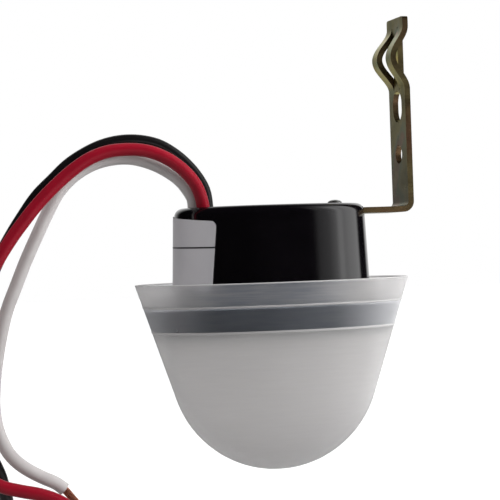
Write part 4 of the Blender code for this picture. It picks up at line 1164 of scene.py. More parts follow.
@dataclass
class Bracket:
    """Strap bracket: flat on the body, stepped down, bent up, pierced, slit and bowed."""

    rim_centre: Vector
    face: float
    tip: float
    body_top: float
    width: float = 0.0130
    thickness: float = 0.0016
    rivet: float = 0.0188
    end_margin: float = 0.0060
    step_at: float = 0.0223
    step_length: float = 0.0018
    step_drop: float = 0.0012
    step_radius: float = 0.0012
    bend_radius: float = 0.0022
    tip_corner: float = 0.0008
    end_corner: float = 0.0030
    hole_height: float = 0.0338
    hole_radius: float = 0.0026
    slot_height: float = 0.0471
    slot_length: float = 0.0088
    slot_width: float = 0.0070
    bow_bottom: float = 0.0516
    bow_length: float = 0.0175
    bow_rise_back: float = 0.0047
    bow_rise_front: float = 0.0038
    slit_gap: float = 0.0004
    rivet_hole: float = 0.0018
    edge_round: float = 0.00022
    edge_slope: float = 0.6
    bow_steps: int = 60
    round_steps: int = 48

    @property
    def bow_top(self) -> float:
        """Height where the bow and the slits end."""
        return self.bow_bottom + self.bow_length

    def corners(self) -> np.ndarray:
        """Corners of the strap's middle line in side view, below the bow."""
        high = self.body_top - self.thickness / 2
        low = high - self.step_drop
        upright = self.face - self.thickness / 2
        return np.array(
            [
                (self.rivet - self.end_margin, high),
                (self.step_at, high),
                (self.step_at + self.step_length, low),
                (upright, low),
                (upright, self.bow_bottom),
            ]
        )

    @staticmethod
    def arc(
        before: np.ndarray, corner: np.ndarray, after: np.ndarray, radius: float, steps: int = 12
    ) -> np.ndarray:
        """Round corner: centre + cos(t) u + sin(t) v, tangent to both straight runs.

        Args:
            before: point before the corner.
            corner: the corner.
            after: point after the corner.
            radius: radius of the arc.
            steps: points on the arc.

        Returns:
            Points of the arc.
        """
        inward, onward = unit(before - corner), unit(after - corner)
        half = math.acos(float(np.clip(inward @ onward, -1.0, 1.0))) / 2
        centre = corner + unit(inward + onward) * radius / math.sin(half)
        first = corner + inward * radius / math.tan(half) - centre
        last = corner + onward * radius / math.tan(half) - centre
        sweep = np.linspace(0.0, math.pi - 2 * half, steps)[:, None]
        side = (last - first * math.cos(math.pi - 2 * half)) / math.sin(math.pi - 2 * half)
        return centre + first * np.cos(sweep) + side * np.sin(sweep)

    def bow(self, across: np.ndarray, height: np.ndarray) -> np.ndarray:
        """Set of an outer strand: rise (1 - cos(2 pi h / length)) / 2; the middle strand has none.

        Args:
            across: place across the strap, from its middle.
            height: height on the strap.

        Returns:
            How far the strand stands back.
        """
        share = np.clip((height - self.bow_bottom) / self.bow_length, 0.0, 1.0)
        rise = np.where(across > 0.0, self.bow_rise_back, self.bow_rise_front)
        rise = np.where(np.abs(across) < self.width / 6, 0.0, rise)
        return rise * (1.0 - np.cos(math.tau * share)) / 2

    def middle_line(self) -> np.ndarray:
        """Rows of the sheet in side view, close together in the bends and in the bow."""
        corner = self.corners()
        first = np.linspace(corner[0], corner[0] + [self.end_corner, 0.0], 9)
        bends = [
            self.arc(corner[0], corner[1], corner[2], self.step_radius),
            self.arc(corner[1], corner[2], corner[3], self.step_radius),
            self.arc(corner[2], corner[3], corner[4], self.bend_radius, 16),
        ]
        heights = np.concatenate(
            [
                np.linspace(self.bow_bottom, self.bow_top, self.bow_steps),
                np.linspace(self.bow_top, self.tip - self.tip_corner, 3)[1:],
                np.linspace(self.tip - self.tip_corner, self.tip, 7)[1:],
            ]
        )
        upright = stacked(np.full(len(heights), corner[-1][0]), heights)
        return np.concatenate([first, *bends, upright])

    def sheet(self) -> Piece:
        """Middle surface: every row crosses the strap, set back by the bow, with the slits left out."""
        line = self.middle_line()
        slit, half_gap = self.width / 6, self.slit_gap / 2
        edges = np.array([slit - half_gap, slit + half_gap, self.width / 2])
        columns = np.concatenate([-edges[::-1], [0.0], edges])
        start, end = line[:, 0] - line[0, 0], self.tip - line[:, 1]
        narrow = np.zeros(len(line))
        for distance, radius in ((start, self.end_corner), (end, self.tip_corner)):
            inside = np.clip(radius - np.abs(distance), 0.0, radius)
            at_end = np.abs(distance) <= radius + 1e-9
            narrow += np.where(at_end, radius - np.sqrt(np.maximum(radius**2 - inside**2, 0.0)), 0.0)
        half = self.width / 2 - narrow[:, None]
        across = np.clip(columns[None], -half, half)
        x = line[:, :1] - self.bow(columns[None], line[:, 1:])
        points = stacked(x, across, line[:, 1:]) + np.array(self.rim_centre)
        faces = grid_faces(len(line), len(columns), Plan.OPEN, Plan.OPEN)
        row, column = np.divmod(np.arange(len(faces)), len(columns) - 1)
        middle = (line[row, 1] + line[row + 1, 1]) / 2
        in_slit = np.isin(column, (1, 4)) & (line[row, 0] > self.step_at)
        in_slit &= (middle > self.bow_bottom) & (middle < self.bow_top)
        return mesh_object("strap_bracket", points, faces[~in_slit])

    def hole_tools(self) -> list[Piece]:
        """Cutters for the round hole, the slot and the rivet hole, as straight prisms."""
        upright = self.face - self.thickness / 2
        angle = full_turn(self.round_steps)
        cosine, sine = np.cos(angle), np.sin(angle)
        ends = np.array([-2.0, 2.0])[:, None] * self.thickness
        half, straight = self.slot_width / 2, (self.slot_length - self.slot_width) / 2
        shift = straight * np.sign(np.sin(angle + 1e-6))
        hole, small = self.hole_radius, self.rivet_hole
        outlines = {
            "round_hole": (upright + ends, hole * cosine, self.hole_height + hole * sine),
            "slot": (upright + ends, half * cosine, self.slot_height + half * sine + shift),
            "rivet_hole": (self.rivet + small * cosine, small * sine, self.body_top + ends),
        }
        return [self.prism(name, stacked(*outline)) for name, outline in outlines.items()]

    def prism(self, name: str, rings: np.ndarray) -> Piece:
        """Closed prism between two rings of points.

        Args:
            name: the piece's name.
            rings: the two rings, counted from the rim's centre.

        Returns:
            The prism.
        """
        middle = rings.mean(axis=1, keepdims=True)
        first, last = (np.broadcast_to(end, rings[:1].shape) for end in (middle[:1], middle[1:]))
        points = np.concatenate([first, rings, last]) + np.array(self.rim_centre)
        piece = grid_object(name, points, Plan.OPEN, Plan.CLOSED)
        weld(piece)
        return piece

    def build(self) -> Piece:
        """The finished strap; faces that look along Y are its cut edges and get their own finish."""
        piece = self.sheet()
        gauge = piece.modifiers.new("gauge", "SOLIDIFY")
        gauge.thickness = self.thickness
        gauge.offset = 0.0
        gauge.use_even_offset = True
        apply_modifiers(piece)
        weld(piece)
        combine(piece, self.hole_tools())
        soften_edges(piece, self.edge_round, degrees=50.0)
        smooth(piece, sharp_degrees=40.0)
        film = YellowZinc(self.rim_centre.z + self.body_top, self.rim_centre.z + self.tip)
        dress(piece, film.build(), ShearedEdge().build())
        dress_faces(piece, np.abs(face_values(piece, "normal")[:, 1]) > self.edge_slope)
        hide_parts("mounting_bracket")
        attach(piece, BODY)
        return piece


@dataclass
class BodyHousing:
    """Gloss black body: drafted oval wall, round shoulder, flange, strap channel and wire hole."""

    oval: Oval
    bracket: Bracket
    cap: Cap
    top: float
    half_length: float = 0.0262
    half_depth: float = 0.0200
    draft: float = math.radians(2.25)
    shoulder: float = 0.0022
    wall: float = 0.0020
    web: float = 0.0018
    skirt: float = 0.0018
    wire_hole: float = -0.0189
    wire_hole_radius: float = 0.0049
    lip: float = 0.0004
    overcut: float = 0.0040
    block_floor: float = 0.0022
    block_side: float = 0.0018
    segments: int = 180

    def spread(self, height: np.ndarray | float) -> np.ndarray | float:
        """How much the drafted wall has widened at a height, counted from the top."""
        return (self.top - height) * math.tan(self.draft)

    def wall_rows(self, height: np.ndarray, inset: np.ndarray | float) -> np.ndarray:
        """Rows of the drafted wall.

        Args:
            height: height of each row.
            inset: how far each row stands inside the wall.

        Returns:
            Half length, half depth and height of each row.
        """
        grown = self.spread(height) - inset
        return stacked(self.half_length + grown, self.half_depth + grown, height)

    def flange_rows(self) -> np.ndarray:
        """Rows of the flange and of the skirt under it, as half length, half depth and height."""
        cap = self.cap
        bottom = cap.flange_top - cap.flange_height
        height = np.array([cap.flange_top, bottom, bottom, cap.flange_top - self.web])
        inset = np.array([0.0, 0.0, self.skirt, self.skirt])
        length = cap.inner_half_length(height)
        half_axes = length - cap.clearance - inset, length * cap.inner_ratio() - cap.clearance - inset
        return stacked(*half_axes, height)

    def outside(self) -> np.ndarray:
        """Rows of (half length, half depth, height) from the middle of the top round to the inside."""
        share = np.linspace(0.0, 1.0, 6)[:-1, None]
        flat = [self.half_length - self.shoulder, self.half_depth - self.shoulder]
        angle = np.linspace(0.0, math.pi / 2, 10)
        fall = self.shoulder * (1.0 - np.cos(angle))
        wall = np.linspace(self.top - self.shoulder, self.cap.flange_top, 14)[1:]
        inner_top = self.top - self.wall
        return np.concatenate(
            [
                np.hstack([share * flat, np.full_like(share, self.top)]),
                self.wall_rows(self.top - fall, self.shoulder * (1.0 - np.sin(angle))),
                self.wall_rows(wall, 0.0),
                self.flange_rows(),
                self.wall_rows(np.array([self.cap.flange_top - self.web, inner_top]), self.wall),
                [(0.0, 0.0, inner_top)],
            ]
        )

    def channel(self) -> Piece:
        """Cutter for the strap's channel: its side view carried across the strap's width."""
        strap, gap = self.bracket, self.cap.clearance
        floor = strap.corners()[:4] - [gap, strap.thickness / 2 + gap]
        past, above = self.half_length + self.overcut, self.top + self.overcut
        floor[3, 0] = past
        side = np.concatenate([floor, [(past, above), (floor[0, 0], above)]])
        across = np.array([-1.0, 1.0])[:, None] * (strap.width / 2 + gap)
        return strap.prism("strap_channel", stacked(side[:, 0], across, side[:, 1]))

    def wire_opening(self) -> Piece:
        """Cutter for the wire hole, wider at its mouth for a small rounded lip."""
        radius, lip = self.wire_hole_radius, self.lip
        heights = np.linspace(0.0, 1.0, 6)
        flare = lip * (1 - np.sqrt(1 - heights**2))
        mouth = stacked(radius + flare, self.top - lip + lip * heights)
        profile = np.concatenate(
            [
                [(0.0, self.top + lip), (radius + lip, self.top + lip)],
                mouth[::-1],
                [(radius, self.top - 2 * self.wall), (0.0, self.top - 2 * self.wall)],
            ]
        )
        place = self.oval.centre + Vector((self.wire_hole, 0.0, 0.0))
        return turned_surface("wire_opening", profile, place, 48)

    def build(self) -> Piece:
        """The body; its bosses and ledge stay hidden behind the sensor plate and are left out."""
        rows = self.outside()
        angle = full_turn(self.segments)
        points = self.oval.rings(rows[:, :1], rows[:, 1:2], rows[:, 2:], angle)
        piece = grid_object("gloss_body_shell", points, Plan.OPEN, Plan.CLOSED)
        weld(piece)
        combine(piece, [self.seat_block()], "UNION")
        combine(piece, [self.channel(), self.wire_opening()])
        smooth(piece, sharp_degrees=40.0)
        finish = MouldedPlastic(
            "gloss_black",
            colour=(0.0024, 0.0019, 0.0027),
            roughness=0.10,
            drift=0.2,
            grain_size=0.0011,
            grain_height=0.000005,
            dust=0.012,
            gloss=0.8,
        )
        dress(piece, finish.build())
        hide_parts("body_housing")
        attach(piece, BODY)
        return piece

    def seat_block(self) -> Piece:
        """Block that backs the channel under the rivet, up to the middle of the top wall."""
        strap, high = self.bracket, self.top - self.wall / 2
        low = strap.corners()[2][1] - strap.thickness / 2 - self.cap.clearance - self.block_floor
        start = strap.rivet - strap.end_margin - self.block_side
        end = self.half_length - self.wall
        size = (end - start, strap.width + 2.0 * self.block_side, high - low)
        middle = Vector(((start + end) / 2, 0.0, (high + low) / 2)) + self.oval.centre
        work = bmesh.new()
        place = Matrix.Translation(middle) @ Matrix.Diagonal((*size, 1.0))
        bmesh.ops.create_cube(work, size=1.0, matrix=place)
        mesh = bpy.data.meshes.new("seat_block")
        work.to_mesh(mesh)
        work.free()
        return link_object("seat_block", mesh)


@dataclass
class Rivet:
    """Domed rivet through the strap and the body."""

    place: Vector
    head_top: float
    tail_bottom: float
    head_radius: float = 0.0020
    head_height: float = 0.0009
    shank_radius: float = 0.0015
    tail_radius: float = 0.0026
    tail_height: float = 0.0009
    fullness: float = 0.85
    under_head: float = 0.96
    seat_gap: float = 0.00002
    tail_edge: float = 0.35
    tail_flat: float = 0.8

    def build(self) -> Piece:
        """The rivet: head (R (sin t)^fullness, h cos t) with a soft rim, shank and upset tail."""
        angle = np.linspace(0.0, math.pi / 2, 12)
        across = self.head_radius * np.sin(angle) ** self.fullness
        dome = stacked(across, self.head_top - self.head_height * (1 - np.cos(angle)))
        seat = self.head_top - self.head_height - self.seat_gap
        tail_top = self.tail_bottom + self.tail_height
        rest = np.array(
            [
                (self.head_radius * self.under_head, seat),
                (self.shank_radius, seat),
                (self.shank_radius, tail_top),
                (self.tail_radius, tail_top),
                (self.tail_radius, tail_top - self.tail_height * self.tail_edge),
                (self.tail_radius * self.tail_flat, self.tail_bottom),
                (0.0, self.tail_bottom),
            ]
        )
        dome[0, 0] = 0.0
        piece = turned_surface("bracket_rivet_turned", np.concatenate([dome, rest]), self.place, 48)
        dress(piece, BareMetal("bright_rivet", (0.78, 0.78, 0.77), 0.5).build())
        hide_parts("bracket_rivet")
        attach(piece, BODY)
        return piece


@dataclass
class Sticker:
    """Sticker wrapped round the left end of the body, set slightly askew."""

    body: BodyHousing
    height: float = 0.0186
    half_wrap: float = 0.0170
    middle: float = 0.0085
    tilt: float = math.radians(4.5)
    corner: float = 0.0016
    thickness: float = 0.00022
    gap: float = 0.00012
    columns: int = 140
    rows: int = 60
    look_ups: int = 1500

    def wrap_angle(self, run: np.ndarray) -> np.ndarray:
        """Angle about Z at a length along the body's oval, by table look-up.

        Args:
            run: length from the oval's left tip.

        Returns:
            The angle.
        """
        body, grown = self.body, self.body.spread(self.middle)
        angle = math.pi + np.linspace(-math.pi / 2, math.pi / 2, self.look_ups)
        line = body.oval.rings(body.half_length + grown, body.half_depth + grown, 0.0, angle)
        runs = run_lengths(line)
        return np.interp(run, runs - runs[-1] / 2, angle)

    def build(self) -> Piece:
        """Flat (u, v) rectangle with round corners, turned by the tilt, then wrapped on the oval."""
        share_v = (1.0 - np.cos(np.linspace(0.0, math.pi, self.rows))) / 2
        v = (share_v[:, None] - 0.5) * self.height
        inside = np.clip(self.corner - (self.height / 2 - np.abs(v)), 0.0, self.corner)
        half = self.half_wrap - (self.corner - np.sqrt(self.corner**2 - inside**2))
        share_u = np.linspace(-1.0, 1.0, self.columns)[None]
        u = half * share_u
        run = u * math.cos(self.tilt) + v * math.sin(self.tilt)
        height = self.middle + v * math.cos(self.tilt) - u * math.sin(self.tilt)
        grown = self.body.spread(height) + self.gap
        points = self.body.oval.rings(
            self.body.half_length + grown, self.body.half_depth + grown, height, self.wrap_angle(run)
        )
        uv = stacked((share_u + 1) / 2, share_v[:, None])
        piece = grid_object("grey_sticker", points, Plan.OPEN, Plan.OPEN, uv)
        stock = piece.modifiers.new("stock", "SOLIDIFY")
        stock.thickness = self.thickness
        stock.offset = 1.0 if self.faces_out(piece) else -1.0
        apply_modifiers(piece)
        smooth(piece, sharp_degrees=50.0)
        dress(piece, StickerStock().build())
        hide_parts("rating_label")
        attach(piece, BODY)
        return piece

    def faces_out(self, piece: Piece) -> bool:
        """Whether the sheet's faces point away from the body's axis."""
        face = piece.data.polygons[len(piece.data.polygons) // 2]
        return (face.center - self.body.oval.centre).xy.dot(face.normal.xy) > 0.0


@dataclass
class LeadWire:
    """Insulated lead wire with its bare stranded end."""

    name: str
    mouth: Vector
    board_top: float
    route: np.ndarray
    strand_route: np.ndarray
    finish: WireSleeve
    clearance: float = 0.0003
    straight_top: float = -0.0054
    diameter: float = 0.0035
    strand_diameter: float = 0.00036
    bundle_radius: float = 0.00088
    spacing: float = 0.0012
    twist: float = 2.2
    fray: float = 0.00035
    strand_spacing: float = 0.0005
    tuck: float = 0.0004
    trim: float = 0.16
    strand_sides: int = 8
    seed: int = 1

    def centreline(self) -> np.ndarray:
        """Smooth line of the insulation, from the board out of the body to its cut end."""
        x, y, _ = self.route[0]
        start = self.board_top + self.clearance - self.mouth.z
        inside = [(x, y, start), (x, y, self.straight_top)]
        return smooth_route(np.concatenate([inside, self.route]), self.spacing) + np.array(self.mouth)

    def sleeve(self) -> Piece:
        """The insulation as one round open spline."""
        points = self.centreline()
        curve = bpy.data.curves.new(f"{self.name}_sleeve", "CURVE")
        curve.dimensions = "3D"
        curve.bevel_depth = self.diameter / 2
        curve.bevel_resolution = 8
        curve.use_fill_caps = True
        spline = curve.splines.new("POLY")
        spline.points.add(len(points) - 1)
        spline.points.foreach_set("co", np.insert(points, 3, 1.0, axis=1).ravel())
        spline.use_smooth = True
        return link_object(f"{self.name}_sleeve", curve)

    def strand_paths(self) -> np.ndarray:
        """Line of every strand: three rings round the bundle's line, twisting and fraying.

        A strand at angle t0 and radius r follows line(s) + r (cos(t0 + twist s) a + sin(t0 + twist s) b)
        and leaves it by a small seeded drift that grows with the square of s.
        """
        end, before = self.centreline()[-1], self.centreline()[-2]
        heading = unit(end - before)
        start = end - heading * self.tuck
        bends = np.insert(np.array([(0.0, 0.0), *self.strand_route]), 1, 0.0, axis=1)
        line = smooth_route(end + bends, self.strand_spacing)
        line = np.concatenate([start[None], line])
        share = np.linspace(0.0, 1.0, len(line))
        counts = (1, 6, 12)
        radii = np.repeat([0.0, 0.5, 1.0], counts) * self.bundle_radius
        turns = np.concatenate([np.arange(count) / count for count in counts]) * math.tau
        rng = np.random.default_rng(self.seed)
        drift = rng.normal(0.0, self.fray, (sum(counts), 2))
        length = 1.0 - rng.uniform(0.0, self.trim, sum(counts))
        steps = share[None] * length[:, None]
        along = np.stack([np.interp(steps, share, line[:, axis]) for axis in range(3)], axis=-1)
        across = np.cross(heading, (0.0, 1.0, 0.0))
        angle = turns[:, None] + self.twist * steps
        side = radii[:, None] * np.cos(angle) + drift[:, :1] * steps**2
        depth = radii[:, None] * np.sin(angle) + drift[:, 1:] * steps**2
        return along + side[..., None] * across + depth[..., None] * np.array([0.0, 1.0, 0.0])

    def strands(self) -> Piece:
        """All strands as round tubes: path + r (cos t a + sin t b), closed at both ends."""
        paths = self.strand_paths()
        count, steps, _ = paths.shape
        tangent = np.gradient(paths, axis=1)
        tangent /= np.linalg.norm(tangent, axis=-1, keepdims=True)
        first = np.cross(tangent, np.array([0.0, 1.0, 0.0]))
        first /= np.linalg.norm(first, axis=-1, keepdims=True)
        second = np.cross(tangent, first)
        sides = self.strand_sides
        angle = full_turn(sides)
        stations = np.concatenate([[0], np.arange(steps), [steps - 1]])
        widths = np.concatenate([[0.0], np.full(steps, self.strand_diameter / 2), [0.0]])
        cosine, sine = np.cos(angle)[:, None], np.sin(angle)[:, None]
        ring = cosine * first[:, stations, None] + sine * second[:, stations, None]
        tubes = paths[:, stations, None] + ring * widths[None, :, None, None]
        single = grid_faces(len(stations), sides, Plan.OPEN, Plan.CLOSED)
        offsets = (np.arange(count) * len(stations) * sides)[:, None, None]
        faces = (single[None] + offsets).reshape(-1, 4)
        piece = mesh_object(f"{self.name}_strands", tubes, faces)
        weld(piece, distance=1e-8)
        smooth(piece, sharp_degrees=60.0)
        return piece

    def build(self, copper: bpy.types.Material) -> tuple[Piece, Piece]:
        """Sleeve and strands, dressed and attached to the body.

        Args:
            copper: the finish of the bare strands.

        Returns:
            The sleeve and the strands.
        """
        sleeve, strands = self.sleeve(), self.strands()
        dress(sleeve, self.finish.build())
        dress(strands, copper)
        colour = self.name.removeprefix("wire_")
        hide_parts(self.name)
        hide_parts(f"copper_{colour}")
        for piece, slot in ((sleeve, f"insulation_{colour}"), (strands, "bare_copper")):
            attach(piece, BODY)
        length = float(run_lengths(self.centreline())[-1])
        return sleeve, strands


@dataclass
class InnerParts:
    """Finishes for the solids inside, which keep their shapes."""

    frame: dict

    def named(self, start: str) -> list[str]:
        """Names of the nodes that start alike."""
        return sorted(name for name in self.frame["nodes"] if name.startswith(start))

    def build(self) -> None:
        """Dresses every inner node."""
        cases, resistors = ["transistor", *self.named("rectifier_diode")], self.named("resistor")
        black, navy, blue = (0.018, 0.018, 0.019), (0.02, 0.03, 0.07), (0.02, 0.09, 0.28)
        table = [
            (MouldedPlastic("inner_black", black, 0.5, 0.15, 0.0005, 0.00002), ["sensor_plate"]),
            (BoardLaminate(), ["circuit_board"]),
            (MouldedPlastic("relay_blue", (0.015, 0.09, 0.30), 0.38, 0.08, 0.0006), ["relay"]),
            (MouldedPlastic("film_yellow", (0.56, 0.34, 0.04), 0.35, 0.08), ["film_capacitor"]),
            (MouldedPlastic("sleeve_navy", navy, 0.3, 0.1, coat=0.3), ["electrolytic_capacitor"]),
            (MouldedPlastic("dipped_blue", blue, 0.42, 0.2, 0.0008, 0.00003), ["varistor"]),
            (MouldedPlastic("case_black", (0.02, 0.02, 0.02), 0.45), cases),
            (MouldedPlastic("bead_orange", (0.45, 0.15, 0.05), 0.15, coat=0.5), ["zener_diode"]),
            (MouldedPlastic("dipped_tan", (0.50, 0.37, 0.21), 0.5, 0.1, 0.0006, 0.00002), resistors),
            (MouldedPlastic("cell_amber", (0.55, 0.33, 0.13), 0.12, 0.3, coat=0.6), ["photoresistor"]),
            (BareMetal("zinc_screw", (0.55, 0.55, 0.53), 0.32), self.named("plate_screw")),
            (BareMetal("plain_washer", (0.56, 0.56, 0.54), 0.36), ["rivet_washer"]),
        ]
        for finish, names in table:
            material = finish.build()
            for name in names:
                node = self.frame["nodes"][name]
                for slot in node.material_slots:
                    slot.material = material


# Studio


@dataclass
class Panel:
    """Soft light panel that looks at the object."""

    name: str
    place: Vector
    target: Vector
    width: float
    height: float
    power: float

    def build(self) -> Piece:
        """The area lamp."""
        lamp = bpy.data.lights.new(self.name, "AREA")
        lamp.shape = "RECTANGLE"
        lamp.size = self.width
        lamp.size_y = self.height
        lamp.energy = self.power
        holder = link_object(self.name, lamp)
        holder.location = self.place
        holder.rotation_euler = (self.target - self.place).to_track_quat("-Z", "Y").to_euler()
        holder.visible_glossy = False
        return holder


@dataclass
class Studio:
    """Pale floor, white surroundings, soft panels and the camera."""

    rim_centre: Vector
    floor_height: float
    azimuth: float = math.radians(-15.0)
    distance: float = 0.500
    axis_left: float = 0.0057
    axis_up: float = 0.00854
    roll: float = math.radians(2.0)
    lens: float = 131.4
    sensor: float = 36.0
    floor_size: float = 8.0
    floor_grey: Colour = (0.36, 0.36, 0.36)
    floor_fade: tuple[float, float] = (0.25, 1.0)
    floor_glow: tuple[float, float] = (0.68, 0.97)
    window_reach: float = 0.20
    window_glow: tuple[float, float] = (0.03, 1.2)
    gloss_fade: tuple[float, float] = (0.97, 0.60)
    gloss_least: float = 0.004
    diffuse_share: float = 0.27

    @property
    def right(self) -> Vector:
        """Level direction to the picture's right."""
        return Vector((math.cos(self.azimuth), math.sin(self.azimuth), 0.0))

    @property
    def front(self) -> Vector:
        """Level direction from the object to the camera."""
        return Vector((math.sin(self.azimuth), -math.cos(self.azimuth), 0.0))

    def camera(self) -> Piece:
        """Level camera, left of the object's front, rolled as the object hangs in the picture."""
        aim = self.rim_centre - self.right * self.axis_left + UP * self.axis_up
        screen_right = self.right * math.cos(self.roll) - UP * math.sin(self.roll)
        screen_up = self.right * math.sin(self.roll) + UP * math.cos(self.roll)
        data = bpy.data.cameras.new("camera")
        data.lens = self.lens
        data.sensor_width = self.sensor
        holder = link_object("camera", data)
        holder.rotation_euler = Matrix((screen_right, screen_up, self.front)).transposed().to_euler()
        holder.location = aim + self.front * self.distance
        bpy.context.scene.camera = holder
        return holder

    def floor(self) -> Piece:
        """Flat pale floor well below the hanging switch, white far off, bright to gloss on the right."""
        half = self.floor_size / 2
        line = np.linspace(-half, half, 5)
        x, y = np.meshgrid(line, line)
        piece = grid_object("studio_floor", stacked(x, y, self.floor_height), Plan.OPEN, Plan.OPEN)
        paper = Palette("floor_paper")
        paper.set(Base_Color=self.floor_grey, Emission_Color=WHITE, Roughness=0.9)
        ray = paper.add("LightPath", {}).outputs
        distance = paper.add("VectorMath", {0: paper.place}, operation="LENGTH").outputs["Value"]
        fade = paper.span(distance, *self.floor_glow, *self.floor_fade)
        side = paper.along(paper.place, self.right)
        window = paper.span(side, *self.window_glow, 0.0, self.window_reach, "SMOOTHSTEP")
        seen = paper.math("MAXIMUM", ray["Is Camera Ray"], ray["Is Transmission Ray"])
        plain = paper.math("MULTIPLY", seen, fade)
        mirrored = paper.math("MULTIPLY", ray["Is Glossy Ray"], window)
        paper.set(Emission_Strength=paper.math("MAXIMUM", plain, mirrored))
        dress(piece, paper.material)
        piece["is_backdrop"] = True
        return piece

    def surroundings(self) -> None:
        """World: white where the eye or frosted plastic sees it, dim as a light.

        Gloss sees a wide bright window on the right and the white backdrop behind the object, and
        dark in front of it, as in a room that is lit from one side. GLOSS_RING gives how bright it is
        all round, and it fades towards the zenith and the ground.
        """
        world = bpy.data.worlds.new("surroundings")
        bpy.context.scene.world = world
        world.use_nodes = True
        net = Wiring(world.node_tree)
        ray = net.add("LightPath", {}).outputs
        direction = net.add("TexCoord", {}).outputs["Generated"]
        turn = net.math("ARCTAN2", net.along(direction, self.right), net.along(direction, self.front))
        share = net.math("ADD", net.math("DIVIDE", turn, math.tau), 0.5)
        brightest = max(value for _, value in GLOSS_RING)
        stops = [(degrees / 360.0 + 0.5, (value / brightest,) * 3) for degrees, value in GLOSS_RING]
        slope = net.math("ABSOLUTE", net.along(direction, UP))
        level = net.span(slope, 0.0, brightest, *self.gloss_fade, "SMOOTHSTEP")
        gloss = net.math("MAXIMUM", net.math("MULTIPLY", net.ramp(share, stops), level), self.gloss_least)
        seen = net.math("MAXIMUM", ray["Is Camera Ray"], ray["Is Transmission Ray"])
        mirrored = net.math("MULTIPLY", ray["Is Glossy Ray"], gloss)
        dim = net.math("MULTIPLY", ray["Is Diffuse Ray"], self.diffuse_share)
        shade = net.tree.nodes["Background"].inputs
        net.feed(shade["Strength"], net.math("MAXIMUM", net.math("MAXIMUM", seen, mirrored), dim))
        net.feed(shade["Color"], WHITE)

    def panels(self) -> list[Piece]:
        """Tall panel on the right as the main light, a dimmer one on the left and one above."""
        target = self.rim_centre + UP * 0.01
        table = {
            "right_panel": (self.right * 0.85 + self.front * 0.12 + UP * 0.15, 0.85, 1.1, 20.0),
            "left_panel": (self.right * -0.90 + self.front * 0.30 + UP * 0.10, 0.7, 1.0, 5.0),
            "top_panel": (self.right * 0.1 + UP * 0.9, 0.7, 0.7, 6.0),
        }
        return [
            Panel(name, target + offset, target, width, height, power).build()
            for name, (offset, width, height, power) in table.items()
        ]

    def build(self) -> None:
        """Everything round the object."""
        bpy.context.scene.view_settings.view_transform = "Standard"
        self.camera()
        self.floor()
        self.surroundings()
        self.panels()


# Degrees round the object from the camera's side, clockwise from above, and how bright gloss sees it
GLOSS_RING = [
    (-180.0, 0.85), (-165.0, 0.85), (-150.0, 0.42), (-138.0, 0.0), (44.0, 0.0), (50.0, 0.02),
    (55.0, 0.28), (66.0, 0.45), (72.0, 0.74), (76.0, 0.95), (80.0, 1.62), (84.0, 1.70), (89.0, 1.25),
    (95.0, 1.42), (108.0, 1.40), (116.0, 1.42), (119.0, 0.60), (122.0, 0.0), (143.0, 0.0),
    (148.0, 0.60), (154.0, 0.95), (165.0, 0.85), (180.0, 0.85),
]
WIRE_FINISHES = {
    "black": WireSleeve("sleeve_black", (0.0042, 0.0038, 0.0042), (0.008, 0.007, 0.0075), 0.30),
    "red": WireSleeve("sleeve_red", (0.27, 0.0030, 0.015), (0.200, 0.0030, 0.012), 0.38, gloss=0.22),
    "white": WireSleeve("sleeve_white", (0.57, 0.545, 0.54), (0.46, 0.43, 0.425), 0.38),
}
# Places along the wires from the middle of the hole's mouth, in tenths of a millimetre
WIRE_ROUTES = {
    "black": [
        (18, 18, -4), (11, 20, 50), (-9, 23, 88), (-30, 26, 115), (-70, 29, 151), (-109, 31, 174),
        (-150, 31, 185), (-191, 31, 188), (-232, 31, 184), (-272, 31, 173), (-313, 31, 154),
        (-356, 31, 127), (-399, 31, 88), (-443, 31, 46), (-486, 31, -12), (-531, 31, -82),
        (-576, 31, -171), (-611, 31, -275), (-636, 31, -380), (-641, 31, -484), (-623, 31, -574),
        (-589, 31, -644), (-568, 31, -694), (-555, 31, -749), (-541, 31, -809), (-519, 31, -864),
    ],
    "red": [
        (-4, -31, -4), (-24, -33, 62), (-53, -35, 98), (-101, -37, 134), (-155, -37, 155),
        (-220, -37, 160), (-264, -37, 155), (-305, -37, 141), (-354, -37, 111), (-398, -37, 75),
        (-442, -37, 33), (-466, -37, 7), (-490, -37, -22), (-514, -37, -52), (-557, -37, -114),
        (-611, -37, -212), (-653, -37, -316), (-679, -37, -429), (-677, -37, -549),
        (-639, -37, -654), (-579, -37, -711), (-524, -37, -729), (-472, -37, -742),
        (-428, -37, -760), (-391, -37, -784),
    ],
    "white": [
        (-21, 7, -4), (-24, 6, 26), (-35, 5, 46), (-54, 4, 71), (-100, 3, 106), (-145, 3, 127),
        (-195, 3, 139), (-241, 3, 138), (-289, 3, 127), (-338, 3, 102), (-386, 3, 58),
        (-422, 3, -2), (-454, 3, -65), (-484, 3, -127), (-511, 3, -190), (-537, 3, -252),
        (-555, 3, -315), (-568, 3, -377), (-578, 3, -448), (-581, 3, -514), (-574, 3, -567),
        (-560, 3, -607), (-545, 3, -635), (-518, 3, -664), (-495, 3, -681), (-459, 3, -702),
        (-422, 3, -721), (-402, 3, -737),
    ],
}
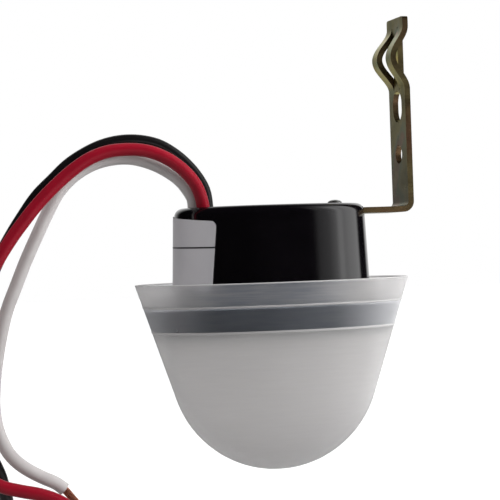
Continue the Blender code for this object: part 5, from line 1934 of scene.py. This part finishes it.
# Places along the bare bundles from the end of the insulation, across and up, in the same unit
STRAND_ROUTES = {
    "black": [(10, -20), (22, -48), (28, -78)],
    "red": [(19, -16), (42, -36), (60, -60)],
    "white": [(15, -18), (31, -40), (40, -68)],
}


def box_list(box: tuple[Vector, Vector]) -> list[list[float]]:
    """Box corners as plain lists."""
    return [list(corner) for corner in box]


def main() -> None:
    """Builds the studio and the object in order."""
    logging.basicConfig(level=logging.INFO, format="%(message)s")
    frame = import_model()
    solid_box = box_list(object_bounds())

    low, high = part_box("translucent_cap")
    rim_centre = Vector(((low[0] + high[0]) / 2, (low[1] + high[1]) / 2, high[2]))
    body_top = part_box("body_housing")[1][2] - rim_centre.z
    strap_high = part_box("mounting_bracket")[1]
    oval = Oval(rim_centre)

    cap = Cap(oval, (high[0] - low[0]) / 2, (high[1] - low[1]) / 2, high[2] - low[2])
    bracket = Bracket(rim_centre, strap_high[0] - rim_centre.x, strap_high[2] - rim_centre.z, body_top)
    body = BodyHousing(oval, bracket, cap, body_top)

    Studio(rim_centre, floor_height=solid_box[0][2] - FLOOR_DROP).build()
    LOG.info("studio")

    mouth = rim_centre + Vector((body.wire_hole, 0.0, body_top))
    board_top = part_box("circuit_board")[1][2]
    copper = BareMetal("bare_copper_strand", (0.62, 0.24, 0.15), 0.28, 0.4, 0.0002).build()
    for seed, (colour, route) in enumerate(WIRE_ROUTES.items(), 3):
        routes = np.array(route) * TENTH_MM, np.array(STRAND_ROUTES[colour]) * TENTH_MM
        wire = LeadWire(f"wire_{colour}", mouth, board_top, *routes, WIRE_FINISHES[colour], seed=seed)
        sleeve, strands = wire.build(copper)
        LOG.info("%s and %s", sleeve.name, strands.name)

    LOG.info(cap.build().name)
    LOG.info(CapRibs(cap).build().name)
    LOG.info(bracket.build().name)
    LOG.info(body.build().name)
    rivet_low, rivet_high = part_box("bracket_rivet")
    rivet_place = Vector(((rivet_low[0] + rivet_high[0]) / 2, 0.0, 0.0))
    LOG.info(Rivet(rivet_place, rivet_high[2], rivet_low[2]).build().name)
    LOG.info(Sticker(body).build().name)
    InnerParts(frame).build()
    LOG.info("inner parts")


if __name__ == "__main__":
    main()
